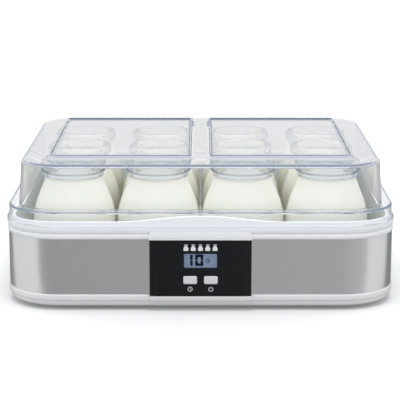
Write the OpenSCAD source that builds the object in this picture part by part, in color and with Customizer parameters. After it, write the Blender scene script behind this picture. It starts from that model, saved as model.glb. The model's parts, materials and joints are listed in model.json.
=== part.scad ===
// Yogurt maker: a heated tub that keeps rows of glass jars warm under a clear lift-off lid.
// Origin: centre of the footprint on the resting plane. +X is right, +Y is back, +Z is up.
// Ring profiles are drawn as [distance outside the body outline, height].

/* [Body] */
// Width of the body outline, measured over the lid's skirt
body_w = 336; // [332:1:344]
// Depth of the body outline, measured over the lid's skirt
body_d = 278; // [274:1:286]
// Corner radius of the body outline seen from above
corner_r = 46; // [42:1:50]
// Wall thickness of the moulded shells
wall = 2.2; // [1.8:0.1:2.6]
// Gap between the resting plane and the bottom cover
foot_h = 3.1; // [2.6:0.1:3.6]
// Height of the bottom cover's upper edge, where the steel band starts
band_z = 14; // [13:0.5:15]
// Height of the steel band
band_h = 48.6; // [46:0.2:52]
// Sheet thickness of the steel band
band_t = 0.8; // [0.5:0.1:1]
// Height of the moulded trim above the steel band
trim_h = 9.4; // [9:0.1:10]
// Height of the tub's lip above the trim
lip_h = 5.3; // [4:0.1:6]
// Rise of the tub's lip at the middle of the front
hump_h = 5.1; // [3:0.1:5.5]
// Half the width over which the lip rises
hump_half_w = 74; // [60:1:90]
// Depth of the tub, from the trim's top to a jar's seat
tub_depth = 43.5; // [42:0.5:44]

/* [Lid] */
// Wall thickness of the clear lid
lid_t = 2.2; // [1.8:0.1:2.4]
// Height of the lid's skirt
skirt_h = 14.4; // [13.8:0.2:16]
// Width of the ledge between the skirt and the upper wall
ledge_w = 9; // [8:0.5:10]
// How far the upper wall leans in over its height
lid_draft = 2.4; // [1:0.2:4]
// Height of the lid's top above its ledge
lid_rise = 38.2; // [38:0.2:44]
// Radius of the edge round the lid's top
lid_edge_r = 3.6; // [3:0.2:5]
// Width of one raised panel on the lid's top
panel_w = 125; // [110:1:128]
// Depth of the raised panels
panel_d = 203; // [180:1:210]
// Space between the two raised panels
panel_gap = 15.6; // [12:0.2:20]
// Height of the raised panels
panel_h = 4; // [3:0.5:5]

/* [Jars] */
// Number of jars across the width
jar_columns = 4; // [2:1:4]
// Number of jars from front to back
jar_rows = 3; // [1:1:3]
// Distance between the centres of neighbouring jars
jar_pitch = 75; // [74:0.5:76]
// Radius of a jar's belly
jar_r = 36.6; // [35:0.1:36.8]
// Height of a jar
jar_h = 90; // [86:0.5:91]
// Radius of a jar's neck
neck_r = 25.4; // [24:0.1:26]
// Radius of a jar's rolled rim
rim_r = 28.65; // [28:0.05:29]
// Thickness of the glass
glass_t = 2.4; // [2:0.1:3]
// Radius of the edge round a jar's base
heel_r = 7; // [5:0.5:9]
// Height at which a jar's shoulder starts to curve in
shoulder_z = 36.5; // [34:0.5:38]
// Radius of the shoulder's curve
shoulder_r = 60; // [56:1:64]
// Radius of the hollow between shoulder and neck
neck_hollow_r = 8; // [6:0.5:10]
// Height of the yogurt above a jar's seat
fill_h = 77.5; // [75:0.5:80]

/* [Controls] */
// Width of the control fascia
fascia_w = 87.4; // [84:0.2:90]
// How far the fascia stands in front of the body outline
fascia_proud = 4; // [3.8:0.1:4.4]
// Thickness of the fascia's wall
fascia_t = 2; // [1.8:0.1:2.2]
// Radius of the fascia's upright ends
fascia_end_r = 4.5; // [4.2:0.1:5]
// Width of the display window
window_w = 28.2; // [24:0.2:32]
// Height of the display window
window_h = 12.4; // [10:0.2:14]
// Height of the display window's centre
window_z = 44.6; // [42:0.2:47]
// Width of a button
button_w = 11.7; // [9:0.1:12]
// Height of a button
button_h = 6.9; // [5:0.1:8]
// Distance of a button's centre from the middle of the front
button_x = 8.85; // [8.5:0.05:12]
// Height of the buttons' centres
button_z = 27.65; // [26:0.05:30]
// Free travel of a button
button_travel = 0.6; // [0.3:0.1:0.6]

/* [Heater] */
// Width of the aluminium heat spreader
spreader_w = 284; // [270:1:286]
// Depth of the aluminium heat spreader
spreader_d = 220; // [200:1:224]
// Thickness of the heat spreader
spreader_t = 1; // [0.8:0.1:1.2]
// Radius of the silicone heating cord
heat_cord_r = 1.5; // [1.2:0.1:1.6]
// Number of straight runs of the heating cord
heat_runs = 6; // [2:2:6]
// Distance between neighbouring runs
heat_pitch = 35; // [30:1:36]
// Length of one straight run
heat_run_l = 230; // [180:5:235]

/* [Electronics] */
// Size of the power board
board_size = [90, 56, 1.6]; // [1:0.1:95]
// Front left corner of the power board on the cover
board_at = [10, 42]; // [8:1:44]
// Height of the power board above the cover's floor
board_lift = 2.2; // [2:0.1:3]
// Size of the heater relay
relay_size = [20, 10, 11.5]; // [8:0.5:20]
// Size of the mains filter capacitor
filter_size = [18, 7, 12]; // [6:0.5:18]
// Size of the mains terminal block
terminal_size = [16, 9, 10]; // [8:0.5:18]
// Radius of the smoothing capacitor
can_r = 4; // [3:0.5:5]
// Height of the smoothing capacitor
can_h = 11.5; // [8:0.5:12]

/* [Power cord] */
// Radius of the power cord
cord_r = 3; // [2.6:0.1:3.2]
// Distance of the cord's exit from the middle of the back
cord_x = 60; // [50:1:70]
// Bend radius of the coiled cord
coil_r = 20; // [18:1:24]
// Length of the coil's straight sides
coil_l = 150; // [120:5:160]
// Level length over which the cord climbs or drops
ramp_l = 20; // [18:1:24]
// Radius of a plug pin
pin_r = 2; // [1.9:0.1:2.1]
// Distance between the two plug pins
pin_gap = 19; // [18:0.2:20]
// Length of a plug pin outside the plug
pin_l = 19; // [18:0.5:20]

/* [Resolution] */
// Segments in a full circle
circle_segments = 96; // [48:24:144]

/* [Hidden] */
$fn = circle_segments;
eps = 0.01;
ball_scale = 1.03;

// Heights that follow from the stack of shells
trim_z = band_z + band_h;
shelf_z = trim_z + trim_h;
seat_z = shelf_z - tub_depth;
well_depth = 1.5;
tub_floor_z = seat_z + well_depth;
tub_under_z = seat_z - wall;
cover_floor_z = foot_h + wall;
lip_z = shelf_z + lip_h;

// Tub and trim profile
lip_out = -3;
tub_lean = 4;
tub_inset = 12;
trim_out = 2;
trim_neck = 0.9;
trim_bead = 1.9;

// Bottom cover profile
cover_out = 1.6;
cover_bead_z = 8.6;
cover_wall_out = -0.2;
cover_wall_in = cover_wall_out - wall;
cover_wall_top = trim_z - 2.6;

// Lid heights
ledge_z = shelf_z + skirt_h;
lid_top_z = ledge_z + lid_rise;
flare_h = 2.4;
flare_end_h = 6;
skirt_edge_r = 2.4;
panel_corner_r = 5;
lid_top_inset = ledge_w + lid_draft + lid_edge_r;

// Jars
jar_count = jar_columns * jar_rows;
jar_gap = 0.05;
well_r = jar_pitch / 2 - 0.5;
shoulder_turn = acos((neck_r + neck_hollow_r - jar_r + shoulder_r) / (shoulder_r + neck_hollow_r));
neck_centre = [
  jar_r - shoulder_r + (shoulder_r + neck_hollow_r) * cos(shoulder_turn),
  shoulder_z + (shoulder_r + neck_hollow_r) * sin(shoulder_turn)
];
bead_r = 2;
bead_h = 4.6;
collar_out = 1.3;
collar_rise = 5;
mouth_edge_r = 1.6;

// Depths of the control stack, from the front towards the back
front_y = -body_d / 2;
fascia_y = front_y - fascia_proud;
fascia_back_y = fascia_y + fascia_t;
fascia_rim_y = front_y - band_t;
fascia_z0 = band_z - 0.8;
fascia_z1 = trim_z + 0.2;
fascia_h = fascia_z1 - fascia_z0;
fascia_end_x = fascia_w / 2 - fascia_end_r;
pocket_gap = 0.2;
band_gap_w = fascia_w - 7.4;
wall_gap_w = fascia_w - 10.2;
bulge_out = 0.5;
bulge_grow = 1;
bulge_up_h = 6.1;
bulge_edge = 2;
window_gap = 0.1;
window_flange = 1.4;
window_flange_t = 0.8;
lcd_t = 2.6;
board_front_y = fascia_back_y + window_flange_t + lcd_t;
board_t = 1.6;
board_back_y = board_front_y + board_t;
display_board_w = 66;
display_board_z0 = fascia_z0 + 4.3;
display_board_z1 = fascia_z1 - 4.8;
display_screw_x = 29;
display_screw_inset = 4.5;

// Buttons and switches
button_proud = 0.8;
button_gap = 0.2;
button_edge_r = 1.3;
button_flange = 1.1;
flange_gap = 0.1;
switch_h = 1.7;
switch_w = 6;
switch_face_y = board_front_y - switch_h;
plunger_r = 1.2;
plunger_gap = 0.2;
plunger_y = switch_face_y - button_travel - 0.05;
plunger_l = 1.3;
well_bore_l = 1.4;
button_sides = [-1, 1];

// Heater
spreader_z = tub_under_z - spreader_t;
heat_z = spreader_z - heat_cord_r;
heat_span = (heat_runs - 1) * heat_pitch;
peg_r = 2;
peg_gap = 0.2;
peg_l = 3.5;
peg_x = 134;
peg_y = 50;
washer_r = 5;
washer_t = 0.8;
clip_size = [5, 8, 3.6];
clip_xs = [-90, 0, 90];
sensor_r = 2;
sensor_l = 12;
sensor_x = 24;

// Screws between the cover and the housing
boss_r = 4;
boss_z = 11;
pilot_r = 1.25;
pilot_l = 11;
post_r = 5;
post_bore_r = 3.2;
post_seat_z = 8;
screw_hole_r = 1.7;
screw_r = 1.2;
screw_head_r = 2.8;
screw_head_h = 2.2;
screw_l = 12;
case_screws_at = [
  for (x = [-1, 1], y = [-1, 1]) [x * 149, y * 70],
  [0, body_d / 2 - 21], [0, 21 - body_d / 2]
];

// Feet
foot_r = 7;
foot_sink = 0.8;
foot_gap = 0.1;
plug_r = 2.5;
feet_at = [[0, 0], for (x = [-1, 1], y = [-1, 1]) [x * 125, y * 98]];

// Power board
board_z = cover_floor_z + board_lift;
board_top_z = board_z + board_size.z;
board_screw_inset = 4;
board_pilot_l = 3.4;
board_holes = [
  for (x = [board_screw_inset, board_size.x - board_screw_inset],
       y = [board_screw_inset, board_size.y - board_screw_inset])
    [board_at.x + x, board_at.y + y]
];
small_screw_r = 0.95;
small_pilot_r = 1;
small_head_r = 2;
small_head_h = 1.2;
relay_at = [board_at.x + 14, board_at.y + 10];
filter_at = [board_at.x + 44, board_at.y + 34];
can_at = [board_at.x + 52, board_at.y + 16];
terminal_at = [cord_x - terminal_size.x / 2, board_at.y + board_size.y - terminal_size.y];
terminal_mid_y = terminal_at.y + terminal_size.y / 2;
cable_inset = 8;
cable_w = 8;
cable_front = 8;
heater_drop = 9;

// Power cord
back_y = body_d / 2;
cord_z = 10;
coil_z = cord_r + 0.4;
coil_step = 2 * cord_r + 0.3;
sleeve_l = 10;
sleeve_end_y = back_y + cover_out + sleeve_l;
cord_drop_y = sleeve_end_y + 2;
coil_front_y = cord_drop_y + ramp_l + coil_r;
coil_back_y = coil_front_y + 2 * coil_r;
coil_end_x = cord_x - coil_r;
coil_start_x = coil_end_x - coil_l;
cord_inner_y = back_y - 26;
grommet_r = 4;
grommet_flange_r = 4.6;
grommet_collar_r = 5;
plug_size = [34, 35.4, 13.8];
plug_z = plug_size.z / 2;
pin_root_r = pin_r - 0.4;
pin_root_l = 8;
pin_neck = 0.3;
plug_lead = coil_r + 4;
plug_x = coil_end_x + plug_lead + ramp_l + 10;
ramp_lead = 10;
clamp_y = back_y - 18;
clamp_size = [20, 7, 2.4];
clamp_screw_x = 7;
clamp_saddle_z = cord_z - cord_r * 0.6;
clamp_top_z = cord_z + cord_r * 0.6 + clamp_size.z;
core_r = 1.1;
core_x = 1.6;
core_z = cord_z + 0.5;
terminal_screw_x = 4;
terminal_bore_r = 1.6;

// ---- Shared shapes ----

// Points on an arc about a centre
function arc(centre, r, from, to, steps = 6) =
  [for (i = [0:steps]) let (a = from + (to - from) * i / steps) centre + r * [cos(a), sin(a)]];

function reverse(list) = [for (i = [len(list) - 1:-1:0]) list[i]];

// Rectangle with round corners
module round_rect(w, d, r) {
  square([w - 2 * r, d], center = true);
  square([w, d - 2 * r], center = true);
  for (x = [-1, 1], y = [-1, 1])
    translate([x * (w / 2 - r), y * (d / 2 - r)])
      circle(r);
}

// Flat plate inside the body outline
module plate(inset, z0, z1) {
  translate([0, 0, z0])
    linear_extrude(z1 - z0)
      round_rect(body_w - 2 * inset, body_d - 2 * inset, corner_r - inset);
}

// Profile carried once round the body outline
module body_ring() {
  for (quarter = [0:3]) {
    across = quarter % 2 == 0 ? body_w : body_d;
    along = quarter % 2 == 0 ? body_d : body_w;
    rotate(90 * quarter) {
      translate([across / 2, along / 2 - corner_r, 0])
        rotate([90, 0, 0])
          linear_extrude(along - 2 * corner_r)
            children();
      translate([across / 2 - corner_r, along / 2 - corner_r, 0])
        rotate_extrude(angle = 90)
          translate([corner_r, 0])
            children();
    }
  }
}

// Box given by two opposite corners
module box(low, high) {
  translate(low)
    cube(high - low);
}

// Cylinder that runs from front to back
module pin_y(r, y0, y1, x, z) {
  translate([x, y1, z])
    rotate([90, 0, 0])
      cylinder(r = r, h = y1 - y0);
}

// Cylinder that runs from left to right
module rod_x(r, x0, x1, y, z) {
  translate([x0, y, z])
    rotate([0, 90, 0])
      cylinder(r = r, h = x1 - x0);
}

// Plate that faces the front, with round corners
module face_plate(w, h, r, y0, y1, x, z) {
  translate([x, y1, z])
    rotate([90, 0, 0])
      linear_extrude(y1 - y0)
        round_rect(w, h, r);
}

// Round wire along straight runs, with a ball at each joint
module wire(points, r) {
  for (i = [0:len(points) - 2]) {
    run = points[i + 1] - points[i];
    translate(points[i])
      rotate([0, acos(run.z / norm(run)), atan2(run.y, run.x)])
        cylinder(r = r, h = norm(run));
  }
  if (len(points) > 2)
    for (i = [1:len(points) - 2])
      translate(points[i])
        sphere(r * ball_scale);
}

// Round bend in a level plane
module bend(centre, bend_r, r, from, turn) {
  translate(centre)
    rotate(from)
      rotate_extrude(angle = turn)
        translate([bend_r, 0])
          circle(r);
}

// ---- Lid ----

module lid() {
  shoulder = [-skirt_edge_r, ledge_z - skirt_edge_r];
  edge = [-lid_top_inset, lid_top_z - lid_edge_r];
  flare = trim_out;
  profile = concat(
    [[flare, shelf_z], [flare, shelf_z + flare_h], [0, shelf_z + flare_end_h]],
    arc(shoulder, skirt_edge_r, 0, 90),
    [[-ledge_w, ledge_z]],
    arc(edge, lid_edge_r, 0, 90),
    arc(edge, lid_edge_r - lid_t, 90, 0),
    [[-ledge_w - lid_t, ledge_z - lid_t]],
    arc(shoulder, skirt_edge_r - lid_t, 90, 0, 2),
    [[-lid_t, shelf_z + flare_end_h], [flare - lid_t, shelf_z + flare_h], [flare - lid_t, shelf_z]]
  );
  color([0.85, 0.88, 0.92, 0.35]) {
    body_ring()
      polygon(profile);
    difference() {
      union() {
        plate(lid_top_inset, lid_top_z - lid_t, lid_top_z);
        lid_panels(0, lid_top_z - lid_t, lid_top_z + panel_h);
      }
      lid_panels(lid_t, lid_top_z - lid_t - eps, lid_top_z + panel_h - lid_t);
    }
  }
}

module lid_panels(inset, z0, z1) {
  for (side = [-1, 1])
    translate([side * (panel_gap + panel_w) / 2, 0, z0])
      linear_extrude(z1 - z0)
        round_rect(panel_w - 2 * inset, panel_d - 2 * inset, panel_corner_r - inset);
}

// ---- Shells ----

module top_housing() {
  lip_in = lip_out - wall;
  profile = [
    [lip_in, lip_z], [lip_out, lip_z], [lip_out, shelf_z],
    [trim_out - 0.4, shelf_z], [trim_out, shelf_z - 0.6], [trim_out - 0.3, shelf_z - 2.5],
    [trim_neck, shelf_z - 4.7], [trim_bead - 0.3, shelf_z - 5.4], [trim_bead, shelf_z - 7],
    [trim_bead - 0.3, trim_z + 0.6], [trim_neck, trim_z],
    [trim_neck - wall, trim_z], [trim_neck - wall, shelf_z - wall], [lip_out - 0.4, shelf_z - wall],
    [lip_out - tub_lean, tub_under_z], [-tub_inset, tub_under_z], [-tub_inset, tub_floor_z],
    [lip_in - tub_lean, tub_floor_z], [lip_in - 0.4, shelf_z]
  ];
  color([0.93, 0.94, 0.96])
    difference() {
      union() {
        body_ring()
          polygon(profile);
        plate(tub_inset, tub_under_z, tub_floor_z);
        lip_hump();
        bulge(fascia_z1, fascia_z1 + bulge_up_h);
        for (at = case_screws_at)
          translate([at.x, at.y, boss_z])
            cylinder(r = boss_r, h = tub_under_z - boss_z + 1);
        spreader_pegs();
      }
      for (n = [1:jar_count])
        translate(jar_place(n))
          cylinder(r = well_r, h = well_depth + 1);
      for (at = case_screws_at)
        translate([at.x, at.y, boss_z - 1])
          cylinder(r = pilot_r, h = pilot_l + 1);
      fascia_pocket();
    }
}

// Smooth rise of the lip above the controls
module lip_hump() {
  steps = 24;
  crest = [
    for (i = [0:steps])
      let (x = hump_half_w * (2 * i / steps - 1))
        [x, lip_z + hump_h * (1 + cos(180 * x / hump_half_w)) / 2]
  ];
  translate([0, front_y - lip_out + wall, 0])
    rotate([90, 0, 0])
      linear_extrude(wall)
        polygon(concat([[-hump_half_w, lip_z - 1]], crest, [[hump_half_w, lip_z - 1]]));
}

// Swelling of the white mouldings round the controls, from the fascia's edge to its chamfered end
module bulge(joint_z, end_z) {
  up = end_z > joint_z ? 1 : -1;
  face_y = fascia_y - bulge_out;
  root_y = front_y + 2;
  intersection() {
    translate([0, 0, min(joint_z, end_z)])
      linear_extrude(abs(end_z - joint_z))
        control_outline(bulge_out, bulge_grow, front_y + 1);
    side_profile([
      [root_y, joint_z - up], [face_y, joint_z - up], [face_y, end_z - up * bulge_edge],
      [face_y + bulge_edge, end_z], [root_y, end_z]
    ]);
  }
}

// Side view outline drawn as [y, z] and carried across the front
module side_profile(points) {
  translate([-fascia_w, 0, 0])
    rotate([90, 0, 90])
      linear_extrude(2 * fascia_w)
        polygon(points);
}

// Plan view of the controls, from the fascia's front back to a chosen depth
module control_outline(out, grow, back) {
  end_x = fascia_end_x + grow - out;
  end_y = fascia_y + fascia_end_r;
  end_r = fascia_end_r + out;
  intersection() {
    union() {
      translate([-end_x, fascia_y - out])
        square([2 * end_x, end_r]);
      for (side = [-1, 1])
        translate([side * end_x, end_y])
          circle(end_r);
      translate([-end_x - end_r, end_y])
        square([2 * (end_x + end_r), 2 * end_r]);
    }
    translate([-fascia_w, fascia_y - out - 1])
      square([2 * fascia_w, back - fascia_y + out + 1]);
  }
}

// Room for the fascia between the trim and the bottom cover
module fascia_pocket() {
  half_w = fascia_w / 2 + pocket_gap;
  box([-half_w, fascia_y - 2, fascia_z0], [half_w, fascia_rim_y, fascia_z1]);
}

module spreader_pegs() {
  for (x = [-1, 1], y = [-1, 1])
    translate([x * peg_x, y * peg_y, tub_under_z - peg_l])
      cylinder(r = peg_r, h = peg_l + 1);
}

module steel_band() {
  color([0.66, 0.67, 0.69])
    difference() {
      body_ring()
        translate([0, band_z])
          square([band_t, band_h]);
      box([-band_gap_w / 2, front_y - 5, band_z - 1], [band_gap_w / 2, front_y + 5, trim_z + 1]);
    }
}

module bottom_cover() {
  profile = [
    [-tub_inset, foot_h], [-8, foot_h], [-3.4, foot_h + 0.9], [-0.6, foot_h + 3],
    [0.4, cover_bead_z], [cover_out, cover_bead_z + 0.6], [cover_out, band_z - 0.8], [1, band_z],
    [cover_wall_out, band_z], [cover_wall_out, cover_wall_top], [cover_wall_in, cover_wall_top],
    [cover_wall_in, cover_floor_z + 3.7], [-5, cover_floor_z + 1.1], [-tub_inset, cover_floor_z]
  ];
  color([0.9, 0.91, 0.93])
    difference() {
      union() {
        body_ring()
          polygon(profile);
        plate(tub_inset, foot_h, cover_floor_z);
        bulge(fascia_z0, cover_bead_z);
        for (at = case_screws_at)
          translate([at.x, at.y, foot_h])
            cylinder(r = post_r, h = boss_z - foot_h);
        for (at = board_holes)
          translate([at.x, at.y, foot_h + 1])
            cylinder(r = 3, h = board_z - foot_h - 1);
        clamp_base();
      }
      for (at = case_screws_at) {
        translate([at.x, at.y, foot_h - 1])
          cylinder(r = post_bore_r, h = post_seat_z - foot_h + 1);
        translate([at.x, at.y, foot_h])
          cylinder(r = screw_hole_r, h = boss_z);
      }
      for (at = board_holes)
        translate([at.x, at.y, board_z - board_pilot_l])
          cylinder(r = small_pilot_r, h = board_pilot_l + 1);
      for (at = feet_at) {
        translate([at.x, at.y, foot_h - 1])
          cylinder(r = foot_r + foot_gap, h = foot_sink + 1);
        translate([at.x, at.y, foot_h])
          cylinder(r = plug_r, h = 2 * wall);
      }
      pin_y(grommet_r, back_y - 8, back_y + 8, cord_x, cord_z);
      pin_y(grommet_flange_r, back_y - 8, back_y + cover_wall_in, cord_x, cord_z);
      fascia_pocket();
      box([-wall_gap_w / 2, front_y - 1, band_z + 2], [wall_gap_w / 2, front_y + 5, trim_z]);
      vents();
    }
}

// Air slots in the cover's floor
module vents() {
  slot_w = 3;
  slot_l = 36;
  slot_pitch = 9;
  slots = 7;
  field_x = -70;
  field_step = 26;
  for (side = [-1, 1], i = [0:slots - 1])
    translate([field_x + side * field_step, (i - (slots - 1) / 2) * slot_pitch, foot_h - 1])
      linear_extrude(2 * wall + 1)
        round_rect(slot_l, slot_w, slot_w / 2 - eps);
}

// Pad with two screw holes that carries the cord clamp
module clamp_base() {
  half_x = clamp_size.x / 2;
  half_y = clamp_size.y / 2;
  difference() {
    box(
      [cord_x - half_x, clamp_y - half_y, foot_h + 1],
      [cord_x + half_x, clamp_y + half_y, clamp_saddle_z]
    );
    pin_y(cord_r, clamp_y - half_y - 1, clamp_y + half_y + 1, cord_x, cord_z);
    for (side = [-1, 1])
      translate([cord_x + side * clamp_screw_x, clamp_y, clamp_saddle_z - board_pilot_l])
        cylinder(r = small_pilot_r, h = board_pilot_l + 1);
  }
}

// ---- Controls ----

module control_fascia() {
  tab_x = wall_gap_w / 2 - 0.2;
  tab_w = 2;
  hook_y = front_y - cover_wall_in + 0.1;
  color([0.1, 0.11, 0.12])
    difference() {
      union() {
        difference() {
          translate([0, 0, fascia_z0])
            linear_extrude(fascia_h)
              control_outline(0, 0, fascia_rim_y);
          translate([0, 0, fascia_z0 + fascia_t])
            linear_extrude(fascia_h - 2 * fascia_t)
              control_outline(-fascia_t, -fascia_t, front_y + 1);
        }
        for (side = [-1, 1], z = [band_z + 8, trim_z - 14])
          clip_tab(side, tab_x, tab_w, hook_y, z);
        for (x = [-1, 1], z = display_screw_zs())
          pin_y(2.5, fascia_back_y - 0.5, board_front_y, x * display_screw_x, z);
      }
      face_plate(window_w, window_h, 0.8, fascia_y - 1, fascia_back_y + 0.5, 0, window_z);
      for (side = button_sides)
        face_plate(
          button_w + 2 * button_gap, button_h + 2 * button_gap, button_edge_r + button_gap,
          fascia_y - 1, fascia_back_y + 0.5, side * button_x, button_z
        );
      for (x = [-1, 1], z = display_screw_zs())
        pin_y(small_pilot_r, fascia_back_y + 0.2, board_front_y + 1, x * display_screw_x, z);
    }
}

function display_screw_zs() =
  [display_board_z0 + display_screw_inset, display_board_z1 - display_screw_inset];

// Snap tab that grips behind the cover's wall
module clip_tab(side, x, w, hook_y, z) {
  tab_h = 6;
  hook = 1.2;
  tip = 1.4;
  low_x = side > 0 ? x - w : -x;
  box([low_x, fascia_back_y - 0.5, z], [low_x + w, hook_y + tip, z + tab_h]);
  hook_x = side > 0 ? x - eps : -x - hook;
  box([hook_x, hook_y, z], [hook_x + hook + eps, hook_y + tip, z + tab_h]);
}

module display_window() {
  color([0.55, 0.6, 0.7, 0.5]) {
    face_plate(
      window_w - 2 * window_gap, window_h - 2 * window_gap, 0.7,
      fascia_y + 0.05, fascia_back_y + window_flange_t, 0, window_z
    );
    face_plate(
      window_w + 2 * window_flange, window_h + 2 * window_flange, 1,
      fascia_back_y, fascia_back_y + window_flange_t, 0, window_z
    );
  }
}

module lcd_panel() {
  half_w = window_w / 2 + 1;
  half_h = window_h / 2 + 1;
  color([0.5, 0.56, 0.68])
    box(
      [-half_w, board_front_y - lcd_t, window_z - half_h],
      [half_w, board_front_y, window_z + half_h]
    );
}

module display_board() {
  color([0.1, 0.35, 0.2])
    difference() {
      box(
        [-display_board_w / 2, board_front_y, display_board_z0],
        [display_board_w / 2, board_back_y, display_board_z1]
      );
      for (x = [-1, 1], z = display_screw_zs())
        pin_y(small_pilot_r + 0.2, board_front_y - 1, board_back_y + 1, x * display_screw_x, z);
    }
}

module controller_chip() {
  chip_w = 10;
  chip_t = 1.4;
  color([0.12, 0.12, 0.13])
    box(
      [-chip_w / 2, board_back_y, window_z - chip_w / 2],
      [chip_w / 2, board_back_y + chip_t, window_z + chip_w / 2]
    );
}

module display_screws() {
  color([0.75, 0.75, 0.77])
    for (x = [-1, 1], z = display_screw_zs()) {
      pin_y(small_head_r, board_back_y, board_back_y + small_head_h, x * display_screw_x, z);
      pin_y(small_screw_r, fascia_back_y + 0.4, board_back_y + eps, x * display_screw_x, z);
    }
}

module tact_switches() {
  half = switch_w / 2;
  color([0.2, 0.2, 0.22])
    for (side = button_sides)
      difference() {
        box(
          [side * button_x - half, switch_face_y, button_z - half],
          [side * button_x + half, board_front_y, button_z + half]
        );
        pin_y(
          plunger_r + plunger_gap, switch_face_y - 1, switch_face_y + well_bore_l,
          side * button_x, button_z
        );
      }
}

// Button cap with the flange that keeps it behind the fascia
module push_button(side) {
  x = side * button_x;
  flange_y = fascia_back_y + flange_gap;
  color([0.84, 0.85, 0.87]) {
    face_plate(
      button_w, button_h, button_edge_r,
      fascia_y - button_proud, flange_y + eps, x, button_z
    );
    face_plate(
      button_w + 2 * button_flange, button_h + 2 * button_flange, button_edge_r,
      flange_y, plunger_y, x, button_z
    );
  }
}

module switch_plunger(side) {
  color([0.85, 0.85, 0.85])
    pin_y(plunger_r, plunger_y, plunger_y + plunger_l, side * button_x, button_z);
}

module time_button() {
  push_button(button_sides[0]);
}

module time_plunger() {
  switch_plunger(button_sides[0]);
}

module start_stop_button() {
  push_button(button_sides[1]);
}

module start_stop_plunger() {
  switch_plunger(button_sides[1]);
}

// ---- Heater ----

module heat_spreader() {
  color([0.78, 0.79, 0.8])
    difference() {
      translate([0, 0, spreader_z])
        linear_extrude(spreader_t)
          round_rect(spreader_w, spreader_d, 20);
      for (x = [-1, 1], y = [-1, 1])
        translate([x * peg_x, y * peg_y, spreader_z - 1])
          cylinder(r = peg_r + peg_gap, h = spreader_t + 2);
    }
}

function heat_run_y(run) = run * heat_pitch - heat_span / 2;

module heating_cord() {
  half_l = heat_run_l / 2;
  color([0.75, 0.3, 0.15]) {
    for (run = [0:heat_runs - 1])
      translate([-half_l, heat_run_y(run), heat_z])
        rotate([0, 90, 0])
          cylinder(r = heat_cord_r, h = heat_run_l);
    for (run = [0:heat_runs - 2])
      if (run % 2 == 0)
        bend([-half_l, heat_run_y(run) + heat_pitch / 2, heat_z], heat_pitch / 2, heat_cord_r, 90, 180);
      else
        bend([half_l, heat_run_y(run) + heat_pitch / 2, heat_z], heat_pitch / 2, heat_cord_r, -90, 180);
  }
}

module cord_clips() {
  half_x = clip_size.x / 2;
  half_y = clip_size.y / 2;
  color([0.8, 0.8, 0.82])
    for (run = [0:heat_runs - 1], x = clip_xs)
      difference() {
        box(
          [x - half_x, heat_run_y(run) - half_y, spreader_z - clip_size.z],
          [x + half_x, heat_run_y(run) + half_y, spreader_z]
        );
        translate([x - half_x - 1, heat_run_y(run), heat_z])
          rotate([0, 90, 0])
            cylinder(r = heat_cord_r, h = clip_size.x + 2);
        box(
          [x - half_x - 1, heat_run_y(run) - heat_cord_r, heat_z],
          [x + half_x + 1, heat_run_y(run) + heat_cord_r, spreader_z + 1]
        );
      }
}

module plate_retainers() {
  color([0.6, 0.6, 0.62])
    for (x = [-1, 1], y = [-1, 1])
      translate([x * peg_x, y * peg_y, spreader_z - washer_t])
        difference() {
          cylinder(r = washer_r, h = washer_t);
          translate([0, 0, -1])
            cylinder(r = peg_r, h = washer_t + 2);
        }
}

module thermal_fuse() {
  color([0.85, 0.82, 0.75])
    translate([-sensor_x - sensor_l / 2, 0, spreader_z - sensor_r])
      rotate([0, 90, 0])
        cylinder(r = sensor_r, h = sensor_l);
}

module temperature_sensor() {
  color([0.1, 0.1, 0.1]) {
    translate([sensor_x, 0, spreader_z - sensor_r])
      rotate([0, 90, 0])
        cylinder(r = sensor_r - 0.4, h = sensor_l);
    box(
      [sensor_x - 4, -4, spreader_z - 2 * sensor_r],
      [sensor_x + eps, 4, spreader_z]
    );
  }
}

// ---- Power electronics ----

module power_board() {
  low = [board_at.x, board_at.y, board_z];
  color([0.65, 0.5, 0.25])
    difference() {
      box(low, low + board_size);
      for (at = board_holes)
        translate([at.x, at.y, board_z - 1])
          cylinder(r = small_pilot_r + 0.2, h = board_size.z + 2);
    }
}

// Block that stands on the power board
module on_board(at, size) {
  box([at.x, at.y, board_top_z], [at.x + size.x, at.y + size.y, board_top_z + size.z]);
}

module relay() {
  color([0.15, 0.3, 0.55])
    on_board(relay_at, relay_size);
}

module filter_capacitor() {
  color([0.85, 0.75, 0.25])
    on_board(filter_at, filter_size);
}

module smoothing_capacitor() {
  color([0.15, 0.15, 0.18])
    translate([can_at.x, can_at.y, board_top_z])
      cylinder(r = can_r, h = can_h);
}

module terminal_block() {
  color([0.2, 0.5, 0.35])
    difference() {
      on_board(terminal_at, terminal_size);
      for (side = [-1, 1]) {
        pin_y(
          core_r + 0.3, terminal_mid_y, terminal_at.y + terminal_size.y + 1,
          cord_x + side * core_x, core_z
        );
        translate([cord_x + side * terminal_screw_x, terminal_mid_y, board_top_z + 6])
          cylinder(r = terminal_bore_r, h = terminal_size.z);
      }
    }
}

module board_screws() {
  grip_l = 2.6;
  color([0.75, 0.75, 0.77]) {
    for (at = board_holes)
      small_screw([at.x, at.y, board_top_z], board_size.z + grip_l);
    for (side = [-1, 1])
      small_screw(
        [cord_x + side * clamp_screw_x, clamp_y, clamp_top_z],
        clamp_top_z - clamp_saddle_z + grip_l
      );
  }
}

// Small screw whose head rests at the given place
module small_screw(at, length) {
  translate(at) {
    cylinder(r = small_head_r, h = small_head_h);
    translate([0, 0, -length])
      cylinder(r = small_screw_r, h = length + eps);
  }
}

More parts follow.
